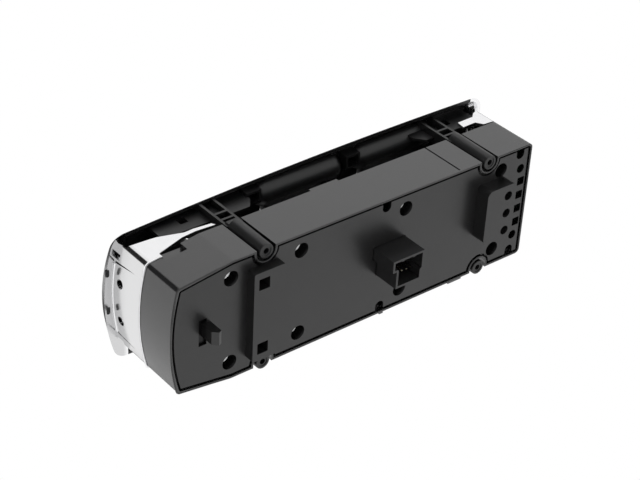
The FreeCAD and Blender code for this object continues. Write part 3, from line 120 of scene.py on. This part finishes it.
class Finish(Nodes):
    """A material built from nodes, which read each point's place in the part's own frame."""

    def __init__(self, name):
        self.material = bpy.data.materials.new(name)
        self.material.use_nodes = True
        self.tree = self.material.node_tree
        self.tree.nodes.clear()

    def place(self):
        return self.node("ShaderNodeTexCoord", output="Object")

    def along(self, axis):
        """A point's place along X, Y or Z in metres."""
        return self.node("ShaderNodeSeparateXYZ", output=axis, Vector=self.place())

    def noise(self, scale, detail=2.0, roughness=0.5, stretch=None):
        place = self.place()
        if stretch:
            place = self.node("ShaderNodeMapping", Vector=place, Scale=stretch)
        return self.node("ShaderNodeTexNoise", output="Fac", Vector=place, Scale=scale, Detail=detail,
                         Roughness=roughness)

    def mix(self, share, first, second):
        """Two colours by a share."""
        return self.node("ShaderNodeMix", {"data_type": "RGBA"}, output=2, i0=share, i6=first, i7=second)

    def bump(self, height, strength, distance):
        return self.node("ShaderNodeBump", Strength=strength, Distance=distance, Height=height)

    def surface(self, **inputs):
        return self.done(self.node("ShaderNodeBsdfPrincipled", **inputs))

    def done(self, shader):
        self.last_node("ShaderNodeOutputMaterial", shader)
        return self.material


# Finishes, each with its own short function

FLOW_SHARE = 0.75
HANDLING = 0.07
GRAIN_SHEEN = 0.05
# Painted shade in recesses: past a given height the moulding is blackened and made metallic, so that it
# reflects nothing.
RECESS_SHADE_FADE = 1.2 * MM
RECESS_PAINTED_SHADE = (0.002, 0.002, 0.002)
RECESS_SHADE_SHARE = 0.8
RECESS_SHADE_METALLIC = 0.85


def moulding(name, dark, pale, roughness, grain, grain_depth, specular=0.5, recess_shade_from=None):
    """A moulding: fine spark-eroded grain, a little handling sheen and faint flow tone. Past a given
    height, where its recesses start, painted shade makes it darker and takes away its reflection."""
    finish = Finish(name)
    flow = finish.noise(scale=38, detail=3.0)
    fine = finish.noise(scale=grain, roughness=0.6)
    handled = finish.noise(scale=160, detail=3.0)
    tone = finish.mix(flow * FLOW_SHARE + fine * (1 - FLOW_SHARE), dark, pale)
    metallic = 0.0
    # Painted shade: the recesses go black and lose their reflection.
    if recess_shade_from is not None:
        recess_shade = finish.ramp(finish.along("Z"), recess_shade_from, recess_shade_from + RECESS_SHADE_FADE)
        tone = finish.mix(recess_shade * RECESS_SHADE_SHARE, tone, RECESS_PAINTED_SHADE)
        metallic = recess_shade * RECESS_SHADE_METALLIC
    sheen = finish.between(handled, roughness - HANDLING, roughness + HANDLING)
    return finish.surface(
        Base_Color=tone,
        Roughness=sheen + finish.between(fine, -GRAIN_SHEEN, GRAIN_SHEEN),
        Specular_IOR_Level=specular,
        Metallic=metallic,
        Normal=finish.bump(fine, strength=0.35, distance=grain_depth),
    )


# Where the plating's painted shade lies: the bowed end, and the fold under its rim.
CAP_FOLD_LOW = 31.0 * MM
CAP_FOLD_HIGH = 43.2 * MM
CAP_END_FROM = 104.6 * MM
CAP_END_TO = 106.6 * MM


def plated(name):
    """Bright plating on plastic: a very slight ripple and thin handling haze, with painted shade that
    makes the bowed end greyer, most of all towards the fold under the rim."""
    finish = Finish(name)
    ripple = finish.noise(scale=55)
    haze = finish.noise(scale=420, detail=3.0)
    # Painted shade: greyer on the bowed end, greyer still towards the fold.
    fold = finish.ramp(finish.along("Z"), CAP_FOLD_LOW, CAP_FOLD_HIGH, smooth=True)
    end_shade_mask = finish.ramp(finish.along("X"), CAP_END_FROM, CAP_END_TO)
    bright = finish.mix(haze, (0.88, 0.88, 0.89), (0.95, 0.95, 0.96))
    shaded_end = finish.mix(end_shade_mask, bright, (0.79, 0.79, 0.795))
    return finish.surface(
        Base_Color=finish.mix(fold * end_shade_mask, shaded_end, (0.66, 0.66, 0.665)),
        Metallic=1.0,
        Roughness=finish.between(haze, 0.13, 0.21),
        Normal=finish.bump(ripple, strength=0.08, distance=0.6 * MM),
    )


def polished(name):
    """The same plating, a little brighter and smoother, for the beads along the hem and the fold, which
    have none of the bowed end's painted shade.
    """
    finish = Finish(name)
    rubbed = finish.noise(scale=700, detail=3.0)
    return finish.surface(
        Base_Color=finish.mix(rubbed, (0.90, 0.90, 0.91), (0.97, 0.97, 0.98)),
        Metallic=1.0,
        Roughness=finish.between(rubbed, 0.08, 0.16),
    )


def zinc_plated(name):
    """Zinc-plated steel with fine marks."""
    finish = Finish(name)
    marks = finish.noise(scale=2600, stretch=(1.0, 1.0, 0.1))
    spots = finish.noise(scale=900, detail=3.0)
    return finish.surface(
        Base_Color=finish.mix(spots, (0.55, 0.56, 0.57), (0.74, 0.74, 0.73)),
        Metallic=1.0,
        Roughness=finish.between(marks, 0.26, 0.42),
        Normal=finish.bump(marks, strength=0.2, distance=0.04 * MM),
    )


def tinned(name):
    """Tin-plated brass with duller spots."""
    finish = Finish(name)
    spots = finish.noise(scale=1500)
    return finish.surface(
        Base_Color=finish.mix(spots, (0.62, 0.57, 0.44), (0.80, 0.76, 0.62)),
        Metallic=1.0,
        Roughness=finish.between(spots, 0.24, 0.38),
    )


TRACK_SLANT = 0.6
TRACK_RADIANS_PER_METRE = 2600
TRACK_EDGE = 0.55
TRACK_TINT = 0.7


def board_resist(name):
    """Green resist over slanting tracks."""
    finish = Finish(name)
    across = (finish.along("X") + finish.along("Y") * TRACK_SLANT) * TRACK_RADIANS_PER_METRE
    tracks = finish.math("GREATER_THAN", finish.math("SINE", across), TRACK_EDGE)
    return finish.surface(
        Base_Color=finish.mix(tracks * TRACK_TINT, (0.012, 0.10, 0.045), (0.03, 0.17, 0.07)),
        Roughness=finish.between(tracks, 0.30, 0.38),
    )


def mark_paint(name):
    """Pale printed marks, a little rubbed."""
    finish = Finish(name)
    rubbed = finish.noise(scale=1400, detail=3.0)
    return finish.surface(
        Base_Color=finish.mix(rubbed, (0.42, 0.42, 0.43), (0.66, 0.66, 0.66)),
        Roughness=finish.between(rubbed, 0.45, 0.65),
    )


def rubber(name, dark, pale):
    """Dull silicone rubber with a fine grain."""
    finish = Finish(name)
    fine = finish.noise(scale=900)
    return finish.surface(
        Base_Color=finish.mix(fine, dark, pale),
        Roughness=finish.between(fine, 0.62, 0.74),
        Normal=finish.bump(fine, strength=0.2, distance=0.03 * MM),
    )


def clear_guide(name):
    """The light guide's pale, smooth plastic with faint waves."""
    finish = Finish(name)
    wave = finish.noise(scale=120)
    return finish.surface(
        Base_Color=finish.mix(wave, (0.78, 0.82, 0.84), (0.88, 0.90, 0.91)),
        Roughness=finish.between(wave, 0.12, 0.18),
    )


MATERIALS = {
    "housing_plastic": moulding(
        "housing_moulding", (0.006, 0.006, 0.0062), (0.009, 0.009, 0.0093),
        roughness=0.22, grain=3800, grain_depth=0.004 * MM, specular=1.0),
    "rim_moulding": moulding(
        "rim_moulding", (0.005, 0.005, 0.0052), (0.007, 0.007, 0.0072),
        roughness=0.22, grain=3800, grain_depth=0.003 * MM, specular=0.6),
    # The cover's wells and recesses carry painted shade from 0.6 mm up.
    "cover_plastic": moulding(
        "cover_moulding", (0.006, 0.006, 0.0062), (0.010, 0.010, 0.0102),
        roughness=0.33, grain=3800, grain_depth=0.010 * MM, specular=0.52, recess_shade_from=0.6 * MM),
    "bezel_plastic": moulding(
        "bezel_moulding", (0.005, 0.005, 0.0052), (0.008, 0.008, 0.0082),
        roughness=0.40, grain=3200, grain_depth=0.010 * MM),
    "connector_plastic": moulding(
        "connector_moulding", (0.010, 0.010, 0.0105), (0.015, 0.015, 0.0155),
        roughness=0.38, grain=4200, grain_depth=0.02 * MM),
    "button_plastic": moulding(
        "button_moulding", (0.022, 0.022, 0.023), (0.032, 0.032, 0.033),
        roughness=0.42, grain=4600, grain_depth=0.03 * MM),
    "slider_plastic": moulding(
        "slider_moulding", (0.58, 0.57, 0.53), (0.70, 0.69, 0.65),
        roughness=0.45, grain=3000, grain_depth=0.02 * MM),
    "component_body": moulding(
        "package_moulding", (0.02, 0.02, 0.02), (0.03, 0.03, 0.03),
        roughness=0.5, grain=3500, grain_depth=0.02 * MM),
    "mark_paint": mark_paint("mark_paint"),
    "bright_trim": plated("bright_plating"),
    "polished_bead": polished("polished_plating"),
    "screw_steel": zinc_plated("zinc_steel"),
    "pin_metal": tinned("tinned_pins"),
    "board": board_resist("board_resist"),
    "contact_rubber": rubber("silicone_rubber", (0.408, 0.425, 0.4335), (0.48, 0.50, 0.51)),
    "clear_plastic": clear_guide("clear_light_guide"),
}

for entry in frame["record"]["subparts"]:
    node = frame["nodes"][entry["node"]]
    node.data.materials.clear()
    node.data.materials.append(MATERIALS[entry["material_slot"]])


# Repeated and swept details, made by Geometry Nodes

class Builder(Nodes):
    """A Geometry Nodes tree with named inputs, which ends in plain geometry and its finish."""

    def __init__(self, name):
        self.tree = bpy.data.node_groups.new(name, "GeometryNodeTree")
        self.start = self.tree.nodes.new("NodeGroupInput")
        self.source = self.size("Geometry", "Geometry")

    def size(self, name, kind="Float"):
        """A named input of the tree."""
        self.tree.interface.new_socket(name, in_out="INPUT", socket_type="NodeSocket" + kind)
        return Value(self, self.start.outputs[name])

    def done(self, geometry):
        finish = self.size("Finish", "Material")
        self.tree.interface.new_socket("Geometry", in_out="OUTPUT", socket_type="NodeSocketGeometry")
        plain = self.node("GeometryNodeRealizeInstances", Geometry=geometry)
        whole = self.node("GeometryNodeSetMaterial", Geometry=plain, Material=finish)
        self.last_node("NodeGroupOutput", whole)
        return self.tree


def built(name, tree, points, edges, slot, body, finish=None, **sizes):
    """Runs a tree on a line or on points, in millimetres, and keeps the result as one plain piece."""
    mesh = bpy.data.meshes.new(name)
    mesh.from_pydata([Vector(point) * MM for point in points], edges, [])
    source = bpy.data.objects.new(name + "_source", mesh)
    bpy.context.scene.collection.objects.link(source)
    modifier = source.modifiers.new("build", "NODES")
    modifier.node_group = tree
    sizes["Finish"] = MATERIALS[finish or slot]
    for item in tree.interface.items_tree:
        if item.in_out == "INPUT" and item.name in sizes:
            modifier[item.identifier] = sizes[item.name]
    graph = bpy.context.evaluated_depsgraph_get()
    result = bpy.data.meshes.new_from_object(source.evaluated_get(graph), depsgraph=graph)
    bpy.data.objects.remove(source)
    piece = bpy.data.objects.new(name, result)
    bpy.context.scene.collection.objects.link(piece)
    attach(piece, body)
    return piece


BEAD_SIDES = 12
TURN_SEED = 7


def bead_tree():
    """A round bead that follows a line."""
    made = Builder("bead_along_a_line")
    line = made.node("GeometryNodeMeshToCurve", Mesh=made.source)
    ring = made.node("GeometryNodeCurvePrimitiveCircle", Resolution=BEAD_SIDES, Radius=made.size("Radius"))
    bead = made.node("GeometryNodeCurveToMesh", Curve=line, Profile_Curve=ring, Fill_Caps=True)
    return made.done(made.node("GeometryNodeSetShadeSmooth", Geometry=bead))


def copies_tree():
    """Copies of one shape at given points, each turned by its own angle about its axis."""
    made = Builder("copies_at_points")
    shape = made.node("GeometryNodeObjectInfo", output="Geometry", Object=made.size("Shape", "Object"))
    angle = made.node("FunctionNodeRandomValue", {"data_type": "FLOAT"}, output=1, i2=0.0,
                      i3=made.size("Turn"), Seed=TURN_SEED)
    turn = made.node("ShaderNodeCombineXYZ", Z=angle)
    rotation = made.node("FunctionNodeEulerToRotation", Euler=turn)
    return made.done(made.node("GeometryNodeInstanceOnPoints", Points=made.source, Instance=shape,
                               Rotation=rotation))


def chain(count, closed=False):
    """The edges that join points in their order."""
    edges = [(n, n + 1) for n in range(count - 1)]
    if closed:
        edges.append((count - 1, 0))
    return edges


BEAD = bead_tree()
COPIES = copies_tree()


# Rounded beads that follow the housing's outline

BOW_MIDDLE = 4.0
BOW_RADIUS = 107.3
BOW_TURN = 13.58
BOW_STEPS = 40
CORNER_X = 105.97
CORNER_Y = 24.63
CORNER_ROUND = 2.4
CORNER_STEPS = 8
SIDE_TURN = 82.65
SIDE_SLOPE = 0.129
TAPER_X = 80.0
HALF_WIDE = 30.4
SQUARE_END = -90.5
SQUARE_STEPS = 6
PILLAR_X = 63.3
PILLAR_Y = 28.8
CHANNEL = 4.9
CHANNEL_STEPS = 18


def arc(x, y, radius, first, last, steps):
    """Points round an arc, from one angle to another in degrees."""
    angles = [math.radians(first + (last - first) * n / steps) for n in range(steps + 1)]
    return [(x + radius * math.cos(a), y + radius * math.sin(a)) for a in angles]


def mirrored(points):
    return [(x, -y) for x, y in reversed(points)]


def bowed_end(inside, back_to):
    """Round the bowed end from one side to the other, set in from the wall's face."""
    corner = arc(CORNER_X, CORNER_Y, CORNER_ROUND - inside, BOW_TURN, SIDE_TURN, CORNER_STEPS)
    near_x, near_y = corner[-1]
    side = corner + [(back_to, near_y + (near_x - back_to) * SIDE_SLOPE)]
    bow = arc(BOW_MIDDLE, 0, BOW_RADIUS - inside, -BOW_TURN, BOW_TURN, BOW_STEPS)
    return mirrored(side) + bow[1:-1] + side


def whole_rim(inside):
    """All round the housing's rear edge, in and out of the pillars' channels."""
    half = HALF_WIDE - inside
    reach = CHANNEL + inside
    turn = math.degrees(math.asin((half - PILLAR_Y) / reach))
    upper = []
    for x in (PILLAR_X, -PILLAR_X):
        upper += arc(x, PILLAR_Y, reach, turn, -180 - turn, CHANNEL_STEPS)
    upper += arc(SQUARE_END + CORNER_ROUND, HALF_WIDE - CORNER_ROUND, CORNER_ROUND - inside, 90, 180,
                 SQUARE_STEPS)
    return bowed_end(inside, TAPER_X) + upper + mirrored(upper)


def at_height(points, z):
    return [(x, y, z) for x, y in points]


SUNK = 0.1
HEM_RADIUS = 0.42
HEM_Z = 22.64
HEM_BACK_TO = 100.3
FOLD_RADIUS = 0.5
FOLD_Z = 42.9
FOLD_FROM = -10.2
FOLD_TO = 8.9
FOLD_STEPS = 36
RIM_RADIUS = 0.48
RIM_INSIDE = 0.5
RIM_Z = 0.26

hem = at_height(bowed_end(SUNK, HEM_BACK_TO), HEM_Z)
built("cap_hem", BEAD, hem, chain(len(hem)), "bright_trim", "panel", "polished_bead",
      Radius=HEM_RADIUS * MM)
fold = at_height(arc(BOW_MIDDLE, 0, BOW_RADIUS - SUNK, FOLD_FROM, FOLD_TO, FOLD_STEPS), FOLD_Z)
built("rim_fold", BEAD, fold, chain(len(fold)), "bright_trim", "panel", "polished_bead",
      Radius=FOLD_RADIUS * MM)
rim = at_height(whole_rim(RIM_INSIDE), RIM_Z)
built("rear_rim_round", BEAD, rim, chain(len(rim), closed=True), "housing_plastic", "panel", "rim_moulding",
      Radius=RIM_RADIUS * MM)


# Dark pieces in the two holes of the bowed cap's rim: painted shade that blackens the holes

HOLE_SHADE_LONG_HALF = 1.95
HOLE_SHADE_HALF = 0.95
HOLE_SHADE_LOW = 43.1
HOLE_SHADE_HIGH = 43.9
HOLE_SHADE_X = 113.4
HOLE_SHADE_MIDDLE = 2.7
HOLE_SHADE_SPREAD = 9.6
HOLE_SHADE_STEPS = 10

# Each step of the piece's softened lower edge has how far it is set in and how far up it lies.
HOLE_SHADE_EDGE = ((0.25, 0.0), (0.06, 0.06), (0.0, 0.2))


def kept_shape(mesh, name):
    made = bpy.data.meshes.new(name)
    mesh.to_mesh(made)
    mesh.free()
    shape = bpy.data.objects.new(name, made)
    bpy.context.scene.collection.objects.link(shape)
    return shape


def plug_shape():
    """A flat dark piece with round ends and a softened edge, which paints shade into a hole."""
    mesh = bmesh.new()
    off = HOLE_SHADE_LONG_HALF - HOLE_SHADE_HALF
    rings = []
    for inset, z in [(inset, HOLE_SHADE_LOW + up) for inset, up in HOLE_SHADE_EDGE] + [(0.0, HOLE_SHADE_HIGH)]:
        size = HOLE_SHADE_HALF - inset
        outline = arc(0, off, size, 0, 180, HOLE_SHADE_STEPS) + arc(0, -off, size, 180, 360, HOLE_SHADE_STEPS)
        rings.append([mesh.verts.new((x * MM, y * MM, z * MM)) for x, y in outline])
    for near, far in zip(rings, rings[1:]):
        for step in range(len(near)):
            after = (step + 1) % len(near)
            mesh.faces.new((near[step], near[after], far[after], far[step]))
    mesh.faces.new(rings[0])
    mesh.faces.new(rings[-1])
    bmesh.ops.recalc_face_normals(mesh, faces=mesh.faces)
    return kept_shape(mesh, "plug_shape")


hole_shade = plug_shape()
hole_shade_places = [(HOLE_SHADE_X, HOLE_SHADE_MIDDLE + HOLE_SHADE_SPREAD, 0), (HOLE_SHADE_X, HOLE_SHADE_MIDDLE - HOLE_SHADE_SPREAD, 0)]
built("rim_plugs", COPIES, hole_shade_places, [], "bezel_plastic", "panel", Shape=hole_shade)
bpy.data.objects.remove(hole_shade)


# Screws in the cover's wells, with dished heads and six-lobed drives

SCREW_X = (80.8, 44.2, -14.1, -71.75)
SCREW_Y = 21.6
LOBES = 6
LOBE_DEPTH = 0.14
ROUND_STEPS = 48
SHARP_FROM = 32

# Each point has its radius, its height and 1 where the drive's lobes are cut.
HEAD_LINE = [(0.0, 6.6, 0), (1.0, 6.55, 1), (1.35, 5.9, 1), (2.75, 5.3, 0), (3.0, 5.17, 0), (3.2, 5.25, 0),
             (3.3, 5.5, 0), (3.3, 7.15, 0), (1.25, 7.15, 0), (1.25, 12.6, 0), (0.0, 13.8, 0)]


def turned_shape(line, name, closed=False):
    """A shape turned about its axis. Where its line says so, it is cut in six soft lobes."""
    mesh = bmesh.new()
    rings = []
    for radius, z, lobed in line:
        if radius == 0:
            rings.append([mesh.verts.new((0, 0, z * MM))])
            continue
        ring = []
        for step in range(ROUND_STEPS):
            angle = math.tau * step / ROUND_STEPS
            size = radius * (1 + lobed * LOBE_DEPTH * math.cos(LOBES * angle)) * MM
            ring.append(mesh.verts.new((size * math.cos(angle), size * math.sin(angle), z * MM)))
        rings.append(ring)
    pairs = list(zip(rings, rings[1:]))
    if closed:
        pairs.append((rings[-1], rings[0]))
    for near, far in pairs:
        for step in range(ROUND_STEPS):
            after = (step + 1) % ROUND_STEPS
            if len(near) == 1:
                mesh.faces.new((near[0], far[step], far[after]))
            elif len(far) == 1:
                mesh.faces.new((near[step], far[0], near[after]))
            else:
                mesh.faces.new((near[step], far[step], far[after], near[after]))
    bmesh.ops.recalc_face_normals(mesh, faces=mesh.faces)
    for face in mesh.faces:
        face.smooth = True
    for edge in mesh.edges:
        edge.smooth = edge.calc_face_angle(0) < math.radians(SHARP_FROM)
    return kept_shape(mesh, name)


one_screw = turned_shape(HEAD_LINE, "screw_shape")
screw_places = [(x, y, 0) for x in SCREW_X for y in (SCREW_Y, -SCREW_Y)]
screws = built("cover_screw_set", COPIES, screw_places, [], "screw_steel", "panel",
               Shape=one_screw, Turn=math.tau / LOBES)
bpy.data.objects.remove(one_screw)
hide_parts("cover_screws")


# Sleeves round the screw pillars, with a raised ring round each hole

SLEEVE_LINE = [(2.35, 0.3, 0), (2.35, -0.22, 0), (2.5, -0.36, 0), (3.3, -0.36, 0), (3.5, -0.2, 0),
               (3.55, 0.0, 0), (3.75, 11.0, 0), (3.95, 21.9, 0), (3.3, 21.9, 0), (3.0, 11.0, 0),
               (2.8, 0.6, 0)]
sleeve = turned_shape(SLEEVE_LINE, "sleeve_shape", closed=True)
pillar_places = [(x, y, 0) for x in (PILLAR_X, -PILLAR_X) for y in (PILLAR_Y, -PILLAR_Y)]
built("pillar_sleeves", COPIES, pillar_places, [], "bezel_plastic", "panel", Shape=sleeve)
bpy.data.objects.remove(sleeve)


# Grip lines on the rockers' lips

LIP_TOP = 50.2
LIP_REACH = 1.5
GRIP_HALF = 9.0
GRIP_DROPS = (0.35, 0.75, 1.15)
GRIP_RADIUS = 0.16


def grip_lines(node):
    """Three fine raised lines along a rocker's lip, on the face that a finger pulls."""
    low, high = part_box(node)
    middle = (low[0] + high[0]) / 2 / MM
    lip = (high[1] if high[1] > -low[1] else low[1]) / MM
    side = 1 if lip > 0 else -1
    points, edges = [], []
    for drop in GRIP_DROPS:
        y = lip - side * (LIP_REACH - drop)
        z = LIP_TOP - drop
        edges.append((len(points), len(points) + 1))
        points += [(middle - GRIP_HALF, y, z), (middle + GRIP_HALF, y, z)]
    built(node + "_grip", BEAD, points, edges, "button_plastic", node, Radius=GRIP_RADIUS * MM)


ROCKERS = [f"rocker_{row}_{side}" for row in ("front", "rear") for side in ("left", "right")]

for rocker in ROCKERS:
    grip_lines(rocker)


# Plain pale marks on the controls: window outlines, arrowheads and bars

PAD_X = 77.5
PAD_ARROWS_OUT = 8.2
BARS_OUT = 1.0
MARK_RADIUS = 0.16
MARK_LIFT = 0.02
MARK_STEPS = 6
ABOVE_ALL = 100

WINDOW = [(-3.2, -1.9), (3.2, -1.9), (3.2, 0.6), (1.6, 1.9), (-3.2, 1.9)]
ARROWHEAD = [(1.3, 0.0), (-0.9, 1.2), (-0.9, -1.2)]
BAR = [(-2.4, -0.3), (2.4, -0.3), (2.4, 0.3), (-2.4, 0.3)]


def closed_line(corners):
    """Points along a closed outline, close enough together to follow a dished face."""
    points = []
    for (ax, ay), (bx, by) in zip(corners, corners[1:] + corners[:1]):
        for step in range(MARK_STEPS):
            share = step / MARK_STEPS
            points.append((ax + (bx - ax) * share, ay + (by - ay) * share))
    return points


def marks(node, name, outlines):
    """Fine raised outlines, let down onto a control's own face."""
    shape = frame["nodes"][node].data
    face = BVHTree.FromPolygons([v.co for v in shape.vertices], [tuple(p.vertices) for p in shape.polygons])
    points, edges = [], []
    for corners in outlines:
        line = closed_line(corners)
        first = len(points)
        for x, y in line:
            hit = face.ray_cast(Vector((x, y, ABOVE_ALL)) * MM, Vector((0, 0, -1)))[0]
            points.append((x, y, hit.z / MM + MARK_LIFT))
        edges += [(first + a, first + b) for a, b in chain(len(line), closed=True)]
    built(name, BEAD, points, edges, "button_plastic", node, "mark_paint", Radius=MARK_RADIUS * MM)


def turned_about(points, x, y, degrees):
    """An outline turned about its own origin and moved to a place."""
    a = math.radians(degrees)
    return [(x + px * math.cos(a) - py * math.sin(a), y + px * math.sin(a) + py * math.cos(a))
            for px, py in points]


def middle_of(node):
    low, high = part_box(node)
    return (low[0] + high[0]) / 2 / MM, (low[1] + high[1]) / 2 / MM


def pad_arrow(degrees):
    """An arrowhead that points outwards near the mirror pad's edge."""
    a = math.radians(degrees)
    x = PAD_X + PAD_ARROWS_OUT * math.cos(a)
    return turned_about(ARROWHEAD, x, PAD_ARROWS_OUT * math.sin(a), degrees)


for rocker in ROCKERS:
    marks(rocker, rocker + "_mark", [turned_about(WINDOW, *middle_of(rocker), 0)])
marks("mirror_pad", "mirror_pad_marks", [pad_arrow(degrees) for degrees in (0, 90, 180, 270)])
for node, degrees in (("mirror_select_left", 90), ("mirror_select_right", -90)):
    marks(node, node + "_mark", [turned_about(ARROWHEAD, *middle_of(node), degrees)])
for node in ("mirror_fold_button", "rear_lock_button"):
    x, y = middle_of(node)
    marks(node, node + "_mark", [turned_about(BAR, x + out, y, 90) for out in (-BARS_OUT, BARS_OUT)])


# Floor and backdrop

FLOOR_Z = -0.70
FLOOR_HALF = 6


def floor_finish():
    """White to the camera and to gloss; a plain pale surface to every other ray."""
    finish = Finish("pale_floor")
    seen = finish.math("MAXIMUM", finish.ray("Camera"),
                       finish.math("MAXIMUM", finish.ray("Glossy"), finish.ray("Transmission")))
    tone = finish.mix(finish.noise(scale=6), (0.78, 0.78, 0.78), (0.82, 0.82, 0.82))
    pale = finish.node("ShaderNodeBsdfPrincipled", Base_Color=tone, Roughness=0.9)
    white = finish.node("ShaderNodeEmission", Color=(1.0, 1.0, 1.0), Strength=1.0)
    return finish.done(finish.blend(seen, pale, white))


corners = [(-1, -1), (1, -1), (1, 1), (-1, 1)]
floor_mesh = bpy.data.meshes.new("floor")
floor_mesh.from_pydata([(x * FLOOR_HALF, y * FLOOR_HALF, FLOOR_Z) for x, y in corners], [], [(0, 1, 2, 3)])
floor_mesh.update()
floor_mesh.materials.append(floor_finish())
floor = bpy.data.objects.new("floor", floor_mesh)
bpy.context.scene.collection.objects.link(floor)


# World

EVEN_LIGHT = 0.3
GLOSS_LIGHT = 0.95
DARK_LIGHT = 0.02

# Each dark stretch has the direction of its middle, its half width and its soft edge in degrees.
DARK_STRETCHES = (((0.55, 0.54, 0.64), 36, 3), ((0.84, -0.55, -0.02), 22, 4),
                  ((-0.54, 0.84, 0.04), 15, 6), ((-0.54, -0.55, 0.64), 32, 6))


class Studio(Nodes):
    """Even white light. Gloss sees the same white, with dark stretches that draw the rounded corners
    and the beads."""

    def __init__(self, name):
        self.world = bpy.data.worlds.new(name)
        self.world.use_nodes = True
        self.tree = self.world.node_tree
        self.tree.nodes.clear()
        light = self.blend(self.ray("Glossy"), self.white(EVEN_LIGHT), self.gloss())
        seen = self.blend(self.ray("Transmission"), light, self.white(1.0))
        self.last_node("ShaderNodeOutputWorld", self.blend(self.ray("Camera"), seen, self.white(1.0)))

    def white(self, strength):
        return self.node("ShaderNodeBackground", Color=(1.0, 1.0, 1.0), Strength=strength)

    def gloss(self):
        light = self.white(GLOSS_LIGHT)
        direction = self.node("ShaderNodeTexCoord", output="Generated")
        for middle, reach, soft in DARK_STRETCHES:
            towards = self.node("ShaderNodeVectorMath", {"operation": "DOT_PRODUCT"}, output="Value",
                                i0=direction, i1=Vector(middle).normalized())
            inside = self.ramp(towards, math.cos(math.radians(reach + soft)),
                               math.cos(math.radians(reach - soft)), smooth=True)
            light = self.blend(inside, light, self.white(DARK_LIGHT))
        return light


bpy.context.scene.world = Studio("soft_studio").world


# Camera and lamps

bpy.context.scene.view_settings.view_transform = "Standard"

CAMERA_AT = Vector((0.41812, 0.41747, -0.45440))
UP = Vector((-0.3130862, 0.83227814, 0.45748238))
BACK = Vector((0.53761216, 0.55240468, -0.63704179))
RIGHT = UP.cross(BACK)

lens = bpy.data.cameras.new("camera")
lens.sensor_width = 36.0
lens.lens = 94.67
lens.clip_start = 0.01
lens.clip_end = 20.0
camera = bpy.data.objects.new("camera", lens)
camera.matrix_world = Matrix.Translation(CAMERA_AT) @ Matrix((RIGHT, UP, BACK)).transposed().to_4x4()
bpy.context.scene.collection.objects.link(camera)
bpy.context.scene.camera = camera


def lamp(name, side, up, towards, distance, size, watts, glossy=False):
    """A soft square lamp placed by the camera's own directions and aimed at the panel."""
    light = bpy.data.lights.new(name, "AREA")
    light.shape = "SQUARE"
    light.size = size
    light.energy = watts
    thing = bpy.data.objects.new(name, light)
    aim = (RIGHT * side + UP * up + BACK * towards).normalized()
    turn = aim.to_track_quat("Z", "Y").to_matrix().to_4x4()
    thing.matrix_world = Matrix.Translation(aim * distance) @ turn
    thing.visible_glossy = glossy
    bpy.context.scene.collection.objects.link(thing)


lamp("upper_lamp", side=-0.25, up=1.0, towards=0.05, distance=1.1, size=0.9, watts=21)
lamp("left_lamp", side=-1.0, up=-0.15, towards=0.10, distance=1.2, size=0.8, watts=17)
lamp("under_lamp", side=0.05, up=-0.83, towards=0.58, distance=1.2, size=0.4, watts=8, glossy=True)
lamp("operating_lamp", side=0.1, up=0.6, towards=-1.0, distance=1.3, size=1.0, watts=12)
